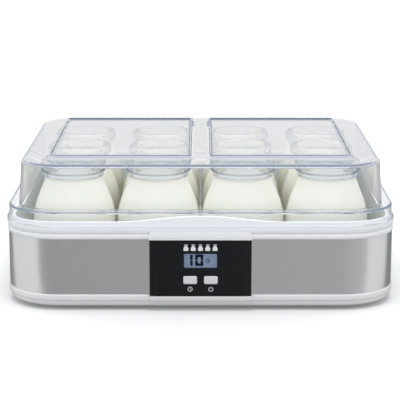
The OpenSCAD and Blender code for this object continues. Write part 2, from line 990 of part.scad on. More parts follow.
// Flat cable along the cover's floor, with a plug on each board
module control_cable() {
  cable_t = 1.2;
  low_x = board_at.x + cable_inset;
  high_x = low_x + cable_w;
  low_z = cover_floor_z + 1.2;
  front = front_y + cable_front;
  rear = board_at.y - 1;
  plug_top_z = tub_under_z - 1.3;
  color([0.8, 0.8, 0.78]) {
    box([low_x, front, low_z], [high_x, rear, low_z + cable_t]);
    box([low_x, front, low_z], [high_x, front + cable_t, plug_top_z]);
    box([low_x, board_back_y, plug_top_z - 6], [high_x, front + cable_t, plug_top_z]);
    box([low_x, rear - cable_t, low_z], [high_x, rear, board_top_z + 2]);
    box([low_x, rear - cable_t, board_top_z], [high_x, rear + 6, board_top_z + 2]);
  }
}

// Wires from the two ends of the heating cord down to the power board
module heater_wires() {
  side_x = heat_run_l / 2;
  run_z = board_top_z + 4;
  post_x = board_at.x + board_size.x - 6;
  color([0.8, 0.75, 0.7])
    for (end = [-1, 1]) {
      cord_y = end * heat_span / 2;
      drop_x = side_x + heater_drop - 2 * end;
      post_y = board_at.y + board_size.y / 3 + 6 * end;
      wire(
        [
          [side_x, cord_y, heat_z], [drop_x, cord_y, heat_z], [drop_x, cord_y, run_z],
          [drop_x, post_y, run_z], [post_x, post_y, run_z], [post_x, post_y, board_top_z]
        ],
        core_r
      );
    }
}

// ---- Power cord ----

module cord_grommet() {
  wall_in = back_y + cover_wall_in;
  color([0.92, 0.93, 0.94])
    difference() {
      union() {
        pin_y(grommet_r, wall_in - 2, back_y + cover_out + 1, cord_x, cord_z);
        pin_y(grommet_flange_r, wall_in - 2, wall_in, cord_x, cord_z);
        pin_y(grommet_collar_r, back_y + cover_out, back_y + cover_out + 1.6, cord_x, cord_z);
        pin_y(grommet_r, back_y + cover_out, sleeve_end_y, cord_x, cord_z);
      }
      pin_y(cord_r, wall_in - 5, sleeve_end_y + 1, cord_x, cord_z);
    }
}

module power_cord() {
  first_bend = [coil_end_x, coil_front_y - coil_r, coil_z];
  top_z = coil_z + 2 * coil_step;
  exit_x = coil_end_x + plug_lead;
  color([0.93, 0.93, 0.94]) {
    pin_y(cord_r, cord_inner_y, cord_drop_y, cord_x, cord_z);
    for (side = [-1, 1])
      pin_y(core_r, terminal_mid_y + 0.5, cord_inner_y + 2, cord_x + side * core_x, core_z);
    ramp([cord_x, cord_drop_y, cord_z], 90, coil_z - cord_z);
    bend(first_bend, coil_r, cord_r, 0, 90);
    coil_turn(coil_z, coil_l - ramp_l - ramp_lead);
    bend([coil_end_x, coil_front_y + coil_r, coil_z + coil_step], coil_r, cord_r, -90, 180);
    coil_turn(coil_z + coil_step, ramp_lead);
    rod_x(cord_r, coil_end_x, exit_x, coil_back_y, top_z);
    ramp([exit_x, coil_back_y, top_z], 0, plug_z - top_z);
    rod_x(cord_r, exit_x + ramp_l, plug_x, coil_back_y, plug_z);
  }
}

// One turn of the coil: level front run, level end, and a back run that climbs one step
module coil_turn(z, lead) {
  ramp_end_x = coil_start_x + lead + ramp_l;
  rod_x(cord_r, coil_start_x, coil_end_x, coil_front_y, z);
  bend([coil_start_x, coil_front_y + coil_r, z], coil_r, cord_r, 90, 180);
  rod_x(cord_r, coil_start_x, coil_start_x + lead, coil_back_y, z);
  ramp([coil_start_x + lead, coil_back_y, z], 0, coil_step);
  rod_x(cord_r, ramp_end_x, coil_end_x, coil_back_y, z + coil_step);
}

// Straight climb or drop along a heading, with a ball at each end
module ramp(at, heading, rise) {
  end = at + [ramp_l * cos(heading), ramp_l * sin(heading), rise];
  wire([at, end], cord_r);
  for (joint = [at, end])
    translate(joint)
      sphere(cord_r * ball_scale);
}

module cord_clamp() {
  half_x = clamp_size.x / 2;
  half_y = clamp_size.y / 2;
  low_z = clamp_saddle_z + 0.4;
  color([0.88, 0.88, 0.9])
    difference() {
      box(
        [cord_x - half_x, clamp_y - half_y, low_z],
        [cord_x + half_x, clamp_y + half_y, clamp_top_z]
      );
      pin_y(cord_r, clamp_y - half_y - 1, clamp_y + half_y + 1, cord_x, cord_z);
      box(
        [cord_x - cord_r, clamp_y - half_y - 1, low_z - 1],
        [cord_x + cord_r, clamp_y + half_y + 1, cord_z]
      );
      for (side = [-1, 1])
        translate([cord_x + side * clamp_screw_x, clamp_y, low_z - 1])
          cylinder(r = small_pilot_r + 0.2, h = clamp_top_z);
    }
}

module power_plug() {
  nose = 5;
  shoulder = 12;
  outline = [
    [0, -5], [shoulder, -plug_size.y / 2], [plug_size.x - nose, -plug_size.y / 2],
    [plug_size.x, 2 - plug_size.y / 2], [plug_size.x, plug_size.y / 2 - 2],
    [plug_size.x - nose, plug_size.y / 2], [shoulder, plug_size.y / 2], [0, 5]
  ];
  color([0.93, 0.93, 0.94])
    translate([plug_x, coil_back_y, 0])
      difference() {
        union() {
          linear_extrude(plug_size.z)
            polygon(outline);
          translate([-8, 0, plug_z])
            rotate([0, 90, 0])
              cylinder(r = cord_r + 1.6, h = 9);
        }
        translate([-10, 0, plug_z])
          rotate([0, 90, 0])
            cylinder(r = cord_r, h = 10);
        for (side = [-1, 1])
          translate([plug_size.x - pin_root_l, side * pin_gap / 2, plug_z])
            rotate([0, 90, 0])
              cylinder(r = pin_root_r, h = pin_root_l + 1);
      }
}

// Pins with a thinner root that is held in the plug
module plug_pins() {
  face_x = plug_x + plug_size.x;
  color([0.8, 0.75, 0.55])
    for (side = [-1, 1]) {
      at_y = coil_back_y + side * pin_gap / 2;
      rod_x(pin_root_r, face_x - pin_root_l, face_x + pin_neck + eps, at_y, plug_z);
      rod_x(pin_r, face_x + pin_neck, face_x + pin_l, at_y, plug_z);
    }
}

// ---- Feet and case screws ----

module rubber_feet() {
  color([0.25, 0.25, 0.26])
    for (at = feet_at)
      translate([at.x, at.y, 0]) {
        cylinder(r = foot_r, h = foot_h + foot_sink);
        translate([0, 0, foot_h])
          cylinder(r = plug_r - foot_gap, h = wall);
      }
}

module case_screws() {
  color([0.75, 0.75, 0.77])
    for (at = case_screws_at)
      translate([at.x, at.y, post_seat_z - screw_head_h]) {
        cylinder(r = screw_head_r, h = screw_head_h);
        cylinder(r = screw_r, h = screw_head_h + screw_l);
      }
}

// ---- Jars ----

// Jars are counted from the front left, across and then back
function jar_place(n) =
  let (column = (n - 1) % jar_columns, row = floor((n - 1) / jar_columns))
    [(column - (jar_columns - 1) / 2) * jar_pitch, (row - (jar_rows - 1) / 2) * jar_pitch, seat_z];

// Outline of a jar from its base to its neck, drawn inside the glass by a given depth
function jar_side(inset) = concat(
  arc([jar_r - heel_r, heel_r], heel_r - inset, -90, 0),
  arc([jar_r - shoulder_r, shoulder_z], shoulder_r - inset, 0, shoulder_turn, 8),
  arc(neck_centre, neck_hollow_r + inset, 180 + shoulder_turn, 180, 4)
);

module jar(n) {
  collar = neck_r + collar_out;
  mouth = neck_r - glass_t + mouth_edge_r;
  profile = concat(
    [[0, 0]],
    jar_side(0),
    [[collar, neck_centre.y + collar_rise], [collar, jar_h - bead_h - 1]],
    arc([rim_r - bead_r, jar_h - bead_h + bead_r], bead_r, -60, 0),
    arc([rim_r - bead_r, jar_h - bead_r], bead_r, 0, 90),
    arc([mouth, jar_h - mouth_edge_r], mouth_edge_r, 90, 180),
    reverse(jar_side(glass_t)),
    [[0, glass_t]]
  );
  color([0.86, 0.9, 0.9, 0.4])
    translate(jar_place(n))
      rotate_extrude()
        polygon(profile);
}

module yogurt(n) {
  inset = glass_t + jar_gap;
  profile = concat(
    [[0, inset]],
    jar_side(inset),
    [[neck_r - inset, fill_h], [0, fill_h]]
  );
  color([0.96, 0.96, 0.92])
    translate(jar_place(n))
      rotate_extrude()
        polygon(profile);
}

lid();
top_housing();
steel_band();
bottom_cover();
control_fascia();
display_window();
lcd_panel();
display_board();
controller_chip();
display_screws();
tact_switches();
time_button();
time_plunger();
start_stop_button();
start_stop_plunger();
heat_spreader();
heating_cord();
cord_clips();
plate_retainers();
thermal_fuse();
temperature_sensor();
power_board();
relay();
filter_capacitor();
smoothing_capacitor();
terminal_block();
board_screws();
control_cable();
heater_wires();
cord_grommet();
power_cord();
cord_clamp();
power_plug();
plug_pins();
rubber_feet();
case_screws();
for (n = [1:jar_count]) {
  jar(n);
  yogurt(n);
}
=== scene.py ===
"""Looks of the yogurt maker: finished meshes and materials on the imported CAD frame."""

import json
import math

import bmesh
import bpy
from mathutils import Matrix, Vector


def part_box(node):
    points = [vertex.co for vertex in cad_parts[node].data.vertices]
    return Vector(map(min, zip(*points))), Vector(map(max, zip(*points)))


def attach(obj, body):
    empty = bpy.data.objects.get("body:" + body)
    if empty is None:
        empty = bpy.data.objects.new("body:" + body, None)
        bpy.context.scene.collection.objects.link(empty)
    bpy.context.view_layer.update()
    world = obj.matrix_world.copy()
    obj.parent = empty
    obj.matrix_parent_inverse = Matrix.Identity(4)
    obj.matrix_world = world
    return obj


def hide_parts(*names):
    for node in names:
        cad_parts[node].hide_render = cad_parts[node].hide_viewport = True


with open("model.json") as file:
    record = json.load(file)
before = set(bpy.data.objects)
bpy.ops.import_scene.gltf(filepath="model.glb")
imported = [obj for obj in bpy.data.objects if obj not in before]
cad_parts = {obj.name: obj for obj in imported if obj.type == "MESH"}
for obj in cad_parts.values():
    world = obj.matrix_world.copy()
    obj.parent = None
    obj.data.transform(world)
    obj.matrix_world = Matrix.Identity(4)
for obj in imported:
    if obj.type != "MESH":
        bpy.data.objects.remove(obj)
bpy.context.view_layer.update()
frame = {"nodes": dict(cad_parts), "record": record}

MM = 0.001
SHARP, TURNED_SHARP = math.radians(32), math.radians(60)

# ---- Driving dimensions, in millimetres unless a name says otherwise ----

BODY_W, BODY_D = 336, 278
CORNER_R = 46
WALL = 2.2
LID_T = 2.2
FLARE = 2
LEDGE_W = 9
LID_DRAFT = 2.4
LID_EDGE_R = 3.6
LID_TOP_INSET = LEDGE_W + LID_DRAFT + LID_EDGE_R
# The raised panels: their bead stands PANEL_H high and the flat inside it PANEL_FLAT
PANEL_W, PANEL_D, PANEL_GAP, PANEL_H, PANEL_FLAT = 125, 203, 15.6, 4, 2.75

JAR_R, NECK_R, RIM_R = 36.6, 25.4, 28.65
# The glass is GLASS_T thick in the neck and the base, and SIDE_T round the yogurt
GLASS_T, SIDE_T = 2.4, 1.1
HEEL_R = 7
SHOULDER_Z, SHOULDER_R, SHOULDER_TURN, NECK_Z = 36.5, 60, 23, 75.5
FILL_H = 77.5


def corners(node):
    """Lowest and highest corner of a CAD node, in millimetres."""
    low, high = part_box(node)
    return [c / MM for c in low], [c / MM for c in high]


def middle(node):
    """Centre of a CAD node's box, in millimetres."""
    low, high = corners(node)
    return [(a + b) / 2 for a, b in zip(low, high)]


lid_low, lid_high = corners("lid")
band_low, band_high = corners("steel_band")
fascia_low, fascia_high = corners("control_fascia")
jar_low, jar_high = corners("jar_1")
JAR_COUNT = sum(1 for name in frame["nodes"] if name.startswith("jar_"))
BUTTONS = ("time_button", "start_stop_button")
SHELF_Z = lid_low[2]
LEDGE_Z = SHELF_Z + 14.4
LID_TOP_Z = lid_high[2] - PANEL_H
BAND_Z, TRIM_Z = band_low[2], band_high[2]
FOOT_H = corners("bottom_cover")[0][2]
JAR_H = jar_high[2] - jar_low[2]
SEAT_Z = jar_low[2]
FRONT_Y = -BODY_D / 2
FASCIA_Y = fascia_low[1]
FASCIA_Z0, FASCIA_Z1 = fascia_low[2], fascia_high[2]
FASCIA_HALF_W = 43.7
WINDOW_Z = middle("display_window")[2]
LIP_Z = SHELF_Z + 5.3
HUMP_H = corners("top_housing")[1][2] - LIP_Z
HUMP_HALF_W = 74
TUB_FLOOR_Z, TUB_UNDER_Z = SEAT_Z + 1.5, SEAT_Z - WALL
# How far the mouldings overlap where one is joined to another
LAP = 0.6
CASE_SCREWS = [(149, 70), (149, -70), (-149, 70), (-149, -70), (0, 118), (0, -118)]
PEGS = [(134, 50), (134, -50), (-134, 50), (-134, -50)]
BOARD_HOLES = [(14, 46), (96, 46), (14, 94), (96, 94)]
FEET = [(0, 0), (125, 98), (125, -98), (-125, 98), (-125, -98)]
BULGE_OUT = 0.5


# ---- Outlines and profiles ----


def filleted(points, steps=6, closed=False):
    """Points (x, y) or (x, y, radius) as a path whose corners with a radius are round."""
    path = []
    count = len(points)
    for i, point in enumerate(points):
        at = Vector(point[:2])
        radius = point[2] if len(point) > 2 else 0
        if radius == 0 or (not closed and i in (0, count - 1)):
            path.append(at)
            continue
        back = Vector(points[i - 1][:2]) - at
        ahead = Vector(points[(i + 1) % count][:2]) - at
        half = back.angle(ahead) / 2
        reach = min(radius / math.tan(half), 0.49 * min(back.length, ahead.length))
        radius = reach * math.tan(half)
        back.normalize()
        ahead.normalize()
        centre = at + (back + ahead).normalized() * radius / math.sin(half)
        start = at + back * reach - centre
        turn = start.angle_signed(at + ahead * reach - centre)
        for step in range(steps + 1):
            path.append(centre + turned(start, -turn * step / steps))
    return path


def turned(vector, angle):
    """A flat vector turned anticlockwise."""
    c, s = math.cos(angle), math.sin(angle)
    return Vector((c * vector.x - s * vector.y, s * vector.x + c * vector.y))


def round_outline(w, d, r, corner_steps=24, side_steps=40):
    """(point, outward direction) pairs round a rounded rectangle, anticlockwise from the right."""
    pairs = []
    signs = ((1, 1), (-1, 1), (-1, -1), (1, -1))
    for quarter, (sx, sy) in enumerate(signs):
        centre = Vector((sx * (w / 2 - r), sy * (d / 2 - r)))
        for step in range(corner_steps + 1):
            angle = math.radians(90) * (quarter + step / corner_steps)
            out = Vector((math.cos(angle), math.sin(angle)))
            pairs.append((centre + out * r, out))
        nx, ny = signs[(quarter + 1) % 4]
        start = pairs[-1][0]
        end = Vector((nx * (w / 2 - r), ny * (d / 2 - r))) + pairs[-1][1] * r
        for step in range(1, side_steps):
            pairs.append((start.lerp(end, step / side_steps), pairs[-1][1]))
    return pairs


BODY_OUTLINE = round_outline(BODY_W, BODY_D, CORNER_R)


def circle(centre, radius, steps):
    """Points (a, b) round a circle in a plane."""
    angles = [2 * math.pi * i / steps for i in range(steps)]
    return [(centre[0] + radius * math.cos(a), centre[1] + radius * math.sin(a)) for a in angles]


def ring_of(pairs, offset, z):
    """The outline moved outwards and lifted, as points in metres."""
    return [Vector((p.x + n.x * offset, p.y + n.y * offset, z)) * MM for p, n in pairs]


# ---- Mesh building ----


def loft(bm, rings, wrap=True, close=False):
    """Skins a list of rings of equal length. Returns the rings as vertices."""
    made = [[bm.verts.new(p) for p in ring] for ring in rings]
    pairs = list(zip(made, made[1:]))
    if close:
        pairs.append((made[-1], made[0]))
    for low, high in pairs:
        count = len(low)
        for i in range(count if wrap else count - 1):
            j = (i + 1) % count
            quad = [low[i], low[j], high[j], high[i]]
            distinct = [v for k, v in enumerate(quad) if v not in quad[:k]]
            if len(distinct) > 2:
                bm.faces.new(distinct)
    return made


def solid(bm, rings):
    """Skins rings and closes both ends. Returns the rings as vertices."""
    made = loft(bm, rings)
    bm.faces.new(made[0])
    bm.faces.new(made[-1])
    return made


def mark_smooth(bm, sharp):
    """Smooth shading with a crease along every edge that turns by more than an angle."""
    for face in bm.faces:
        face.smooth = True
    for edge in bm.edges:
        edge.smooth = not (len(edge.link_faces) == 2 and edge.calc_face_angle() > sharp)


def make_object(name, bm, material, sharp=SHARP):
    """Turns a bmesh into a smooth-shaded object with its sharp edges marked."""
    bmesh.ops.recalc_face_normals(bm, faces=bm.faces)
    mark_smooth(bm, sharp)
    mesh = bpy.data.meshes.new(name)
    bm.to_mesh(mesh)
    bm.free()
    mesh.materials.append(material)
    obj = bpy.data.objects.new(name, mesh)
    bpy.context.scene.collection.objects.link(obj)
    return obj


def paint_faces(obj, others, choose):
    """Gives each face the material whose name choose returns, or the object's own if it returns None."""
    for name in others:
        obj.data.materials.append(MAT[name])
    for face in obj.data.polygons:
        chosen = choose(face)
        face.material_index = 1 + others.index(chosen) if chosen else 0


def place(obj, body, slot, *nodes):
    """Rides a finished piece on its body and lets it stand for its CAD nodes."""
    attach(obj, body)
    if nodes:
        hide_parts(*nodes)
    return obj


def revolve(bm, profile, centre, steps=96):
    """Turns (radius, height) points about a vertical line. Points on the axis become one vertex."""
    rings = []
    for radius, z in profile:
        if radius < 1e-6:
            rings.append([bm.verts.new(Vector((centre[0], centre[1], centre[2] + z)) * MM)])
            continue
        around = circle(centre, radius, steps)
        rings.append([bm.verts.new(Vector((x, y, centre[2] + z)) * MM) for x, y in around])
    for low, high in zip(rings, rings[1:]):
        if len(low) == 1 and len(high) == 1:
            continue
        for i in range(steps):
            j = (i + 1) % steps
            face = [low[i % len(low)], low[j % len(low)], high[j % len(high)], high[i % len(high)]]
            bm.faces.new([v for k, v in enumerate(face) if v not in face[:k]])


def flat_fill(bm, *loops):
    """Fills the level area between vertex loops, holes included."""
    edges = []
    for verts in loops:
        for a, b in zip(verts, verts[1:] + verts[:1]):
            edges.append(bm.edges.get((a, b)) or bm.edges.new((a, b)))
    bmesh.ops.triangle_fill(bm, use_beauty=True, use_dissolve=False, edges=edges)


def facing_plate(bm, w, h, corner, y_profile, x, z):
    """Plate that faces the front: y_profile lists (inset, y) rings from the back to the front."""
    rings = []
    for inset, y in y_profile:
        pairs = round_outline(w - 2 * inset, h - 2 * inset, max(corner - inset, 0.05), 8, 1)
        rings.append([Vector((x + p.x, y, z + p.y)) * MM for p, _ in pairs])
    solid(bm, rings)


def block(bm, low, high):
    """Box between two opposite corners."""
    outline = [(low[0], low[1]), (high[0], low[1]), (high[0], high[1]), (low[0], high[1])]
    solid(bm, [[Vector((x, y, z)) * MM for x, y in outline] for z in (low[2], high[2])])


def bake_modifiers(obj):
    """Applies an object's modifiers to its mesh and marks the sharp edges again."""
    bpy.context.view_layer.update()
    evaluated = obj.evaluated_get(bpy.context.evaluated_depsgraph_get())
    mesh = bpy.data.meshes.new_from_object(evaluated)
    obj.modifiers.clear()
    bm = bmesh.new()
    bm.from_mesh(mesh)
    mark_smooth(bm, SHARP)
    bm.to_mesh(mesh)
    bm.free()
    obj.data = mesh


def cut_from(body, cutter_bm, operation="DIFFERENCE"):
    """Cuts a closed mesh out of an object, or joins it on."""
    bmesh.ops.remove_doubles(cutter_bm, verts=cutter_bm.verts, dist=1e-7)
    bmesh.ops.recalc_face_normals(cutter_bm, faces=cutter_bm.faces)
    mesh = bpy.data.meshes.new("cutter")
    cutter_bm.to_mesh(mesh)
    cutter_bm.free()
    mesh.materials.append(body.data.materials[0])
    cutter = bpy.data.objects.new("cutter", mesh)
    bpy.context.scene.collection.objects.link(cutter)
    modifier = body.modifiers.new("cut", "BOOLEAN")
    modifier.object = cutter
    modifier.operation = operation
    modifier.solver = "EXACT"
    bake_modifiers(body)
    bpy.data.objects.remove(cutter)


# ---- Materials ----


def new_material(name):
    """A node material, its tree and its main shader."""
    material = bpy.data.materials.new(name)
    material.use_nodes = True
    tree = material.node_tree
    return material, tree, tree.nodes["Principled BSDF"]


def add(tree, kind, **values):
    """A node with its named properties and inputs set."""
    node = tree.nodes.new(kind)
    for key, value in values.items():
        if key in node.inputs:
            node.inputs[key].default_value = value
        else:
            setattr(node, key, value)
    return node


def noise(tree, scale, detail=3.0, stretch=(1, 1, 1)):
    """Noise in the object's own space, squeezed along each axis."""
    where = add(tree, "ShaderNodeTexCoord")
    squeeze = add(tree, "ShaderNodeVectorMath", operation="MULTIPLY")
    squeeze.inputs[1].default_value = stretch
    texture = add(tree, "ShaderNodeTexNoise", Scale=scale, Detail=detail)
    tree.links.new(where.outputs["Object"], squeeze.inputs[0])
    tree.links.new(squeeze.outputs[0], texture.inputs["Vector"])
    return texture.outputs["Fac"]


def ranged(tree, value, start, end, low=0.0, high=1.0):
    """Maps one range of a value onto another and stays inside it."""
    node = add(tree, "ShaderNodeMapRange")
    for key, number in (("From Min", start), ("From Max", end), ("To Min", low), ("To Max", high)):
        node.inputs[key].default_value = number
    tree.links.new(value, node.inputs["Value"])
    return node.outputs["Result"]


def spread(tree, value, low, high):
    """Stretches the middle of a noise value over a range."""
    return ranged(tree, value, 0.3, 0.7, low, high)


def colour_between(tree, value, dark, light):
    """Colour output that follows a value between two colours."""
    mix = tree.nodes.new("ShaderNodeMix")
    mix.data_type = "RGBA"
    mix.inputs[6].default_value = (*dark, 1)
    mix.inputs[7].default_value = (*light, 1)
    tree.links.new(value, mix.inputs[0])
    return mix.outputs[2]


def bumped(tree, shader, height, distance):
    """Lets a value raise and lower the surface."""
    bump = add(tree, "ShaderNodeBump", Strength=1.0, Distance=distance)
    tree.links.new(height, bump.inputs["Height"])
    tree.links.new(bump.outputs["Normal"], shader.inputs["Normal"])


def plastic(name, dark, light, roughness, grain=900, depth=0.000006, coat=0.0, specular=0.5):
    """Moulded plastic: slight colour drift, fine surface grain and uneven gloss."""
    material, tree, shader = new_material(name)
    drift = noise(tree, 14, 2)
    fine = noise(tree, grain, 2)
    tree.links.new(colour_between(tree, drift, dark, light), shader.inputs["Base Color"])
    tree.links.new(spread(tree, fine, roughness * 0.85, roughness * 1.15), shader.inputs["Roughness"])
    shader.inputs["Coat Weight"].default_value = coat
    shader.inputs["Coat Roughness"].default_value = 0.05
    shader.inputs["Specular IOR Level"].default_value = specular
    if depth:
        bumped(tree, shader, fine, depth)
    return material


def backlit(name, dark, light, strength):
    """Plastic that glows faintly in its own colour."""
    material = plastic(name, dark, light, 0.45, depth=0)
    shader = material.node_tree.nodes["Principled BSDF"]
    shader.inputs["Emission Color"].default_value = (*light, 1)
    shader.inputs["Emission Strength"].default_value = strength
    return material


def metal(name, dark, light, roughness, stretch=(1, 1, 1), scale=400, depth=0.00001):
    """Bare metal with a directional finish."""
    material, tree, shader = new_material(name)
    lines = noise(tree, scale, 3, stretch)
    tree.links.new(colour_between(tree, lines, dark, light), shader.inputs["Base Color"])
    tree.links.new(spread(tree, lines, roughness * 0.8, roughness * 1.2), shader.inputs["Roughness"])
    shader.inputs["Metallic"].default_value = 1
    if depth:
        bumped(tree, shader, lines, depth)
    return material, tree, shader


def brushed_steel():
    """Steel brushed round the body: long level scratches and a stretched highlight."""
    material, tree, shader = metal(
        "brushed_steel", (0.54, 0.545, 0.555), (0.62, 0.625, 0.635), 0.3,
        stretch=(0.02, 0.02, 1), scale=2600, depth=0.000004,
    )
    tangent = add(tree, "ShaderNodeTangent", direction_type="RADIAL", axis="Z")
    tree.links.new(tangent.outputs["Tangent"], shader.inputs["Tangent"])
    shader.inputs["Anisotropic"].default_value = 0.75
    shader.inputs["Anisotropic Rotation"].default_value = 0.25
    return material


def math_node(tree, kind, first, second=None):
    """Result of a sum whose terms are numbers or outputs of other nodes."""
    node = add(tree, "ShaderNodeMath", operation=kind)
    for slot, value in enumerate((first, second)):
        if isinstance(value, (int, float)):
            node.inputs[slot].default_value = value
        elif value is not None:
            tree.links.new(value, node.inputs[slot])
    return node.outputs[0]


# Painted reflection: the flat blue-grey shown by rays caught inside clear edges, standing in for the dark
# surroundings that the edges reflect
PAINTED_EDGE_REFLECTION = (0.26, 0.31, 0.42)


def clear(name, tint, roughness, ior):
    """Clear solid: bends what the eye sees, but lets lamps and bounced light straight through. Rays caught
    inside its edges show a painted reflection, a flat blue-grey.
    """
    material, tree, shader = new_material(name)
    drift = noise(tree, 30, 2)
    shader.inputs["Base Color"].default_value = (*tint, 1)
    tree.links.new(spread(tree, drift, roughness * 0.6, roughness * 1.4), shader.inputs["Roughness"])
    shader.inputs["IOR"].default_value = ior
    shader.inputs["Transmission Weight"].default_value = 1
    through = add(tree, "ShaderNodeBsdfTransparent", Color=(*tint, 1))
    path = add(tree, "ShaderNodeLightPath")
    either = add(tree, "ShaderNodeMath", operation="MAXIMUM")
    mix = add(tree, "ShaderNodeMixShader")
    tree.links.new(path.outputs["Is Shadow Ray"], either.inputs[0])
    tree.links.new(path.outputs["Is Diffuse Ray"], either.inputs[1])
    trapped = add(tree, "ShaderNodeMixShader")
    # Painted reflection: a ray that has bounced more than twice inside the clear part shows the flat
    # blue-grey
    painted_edge_reflection = add(tree, "ShaderNodeEmission", Color=(*PAINTED_EDGE_REFLECTION, 1))
    tree.links.new(math_node(tree, "GREATER_THAN", path.outputs["Glossy Depth"], 2.5), trapped.inputs[0])
    tree.links.new(shader.outputs[0], trapped.inputs[1])
    tree.links.new(painted_edge_reflection.outputs[0], trapped.inputs[2])
    tree.links.new(either.outputs[0], mix.inputs[0])
    tree.links.new(trapped.outputs[0], mix.inputs[1])
    tree.links.new(through.outputs[0], mix.inputs[2])
    output = tree.nodes["Material Output"]
    tree.links.new(mix.outputs[0], output.inputs["Surface"])
    return material


def mixed_surface(name, base, over, share):
    """A copy of a material with another shader laid over its surface."""
    material = base.copy()
    material.name = name
    tree = material.node_tree
    output = tree.nodes["Material Output"]
    under = output.inputs["Surface"].links[0].from_socket
    mix = add(tree, "ShaderNodeMixShader")
    tree.links.new(under, mix.inputs[1])
    tree.links.new(over(tree).outputs[0], mix.inputs[2])
    amount = share(tree)
    if isinstance(amount, float):
        mix.inputs[0].default_value = amount
    else:
        tree.links.new(amount, mix.inputs[0])
    tree.links.new(mix.outputs[0], output.inputs["Surface"])
    return material


def with_painted_reflection(name, base, tint, face_on, edge_on):
    """A clear material with a painted reflection: a share of flat emitted colour that grows from face on to
    edge on.
    """

    def share(tree):
        facing = add(tree, "ShaderNodeLayerWeight", Blend=0.5)
        amount = spread(tree, math_node(tree, "POWER", facing.outputs["Facing"], 2.0), face_on, edge_on)
        path = add(tree, "ShaderNodeLightPath")
        hidden = math_node(tree, "MAXIMUM", path.outputs["Is Shadow Ray"], path.outputs["Is Diffuse Ray"])
        return math_node(tree, "MULTIPLY", amount, math_node(tree, "SUBTRACT", 1.0, hidden))

    # The painted reflection is emitted, and it is hidden from shadow rays and bounced rays
    return mixed_surface(name, base, lambda tree: add(tree, "ShaderNodeEmission", Color=(*tint, 1)), share)


def thinned(name, base, amount):
    """A clear material that lets a share of the view straight through."""
    through = (0.97, 0.975, 0.985, 1)
    return mixed_surface(
        name, base, lambda tree: add(tree, "ShaderNodeBsdfTransparent", Color=through), lambda tree: amount
    )


def sheltered(tree):
    """1 low down behind the front row of jars, where little light reaches, fading to 0 elsewhere."""
    where = add(tree, "ShaderNodeNewGeometry")
    split = add(tree, "ShaderNodeSeparateXYZ")
    tree.links.new(where.outputs["Position"], split.inputs[0])
    behind = ranged(tree, split.outputs["Y"], -0.07, -0.045)
    below = ranged(tree, split.outputs["Z"], 0.11, 0.07)
    return math_node(tree, "MULTIPLY", behind, below)


def yogurt_material(name, dark, light):
    """Set yogurt: soft, creamy and slightly translucent."""
    material, tree, shader = new_material(name)
    drift = noise(tree, 45, 4)
    fine = noise(tree, 600, 3)
    shade = add(tree, "ShaderNodeMix", data_type="RGBA", blend_type="MULTIPLY")
    shade.inputs[7].default_value = (0.7, 0.7, 0.62, 1)
    tree.links.new(sheltered(tree), shade.inputs[0])
    tree.links.new(colour_between(tree, drift, dark, light), shade.inputs[6])
    tree.links.new(shade.outputs[2], shader.inputs["Base Color"])
    tree.links.new(spread(tree, fine, 0.35, 0.5), shader.inputs["Roughness"])
    shader.inputs["Subsurface Weight"].default_value = 0.35
    shader.inputs["Subsurface Radius"].default_value = (1, 0.85, 0.6)
    shader.inputs["Subsurface Scale"].default_value = 0.004
    bumped(tree, shader, fine, 0.00004)
    return material


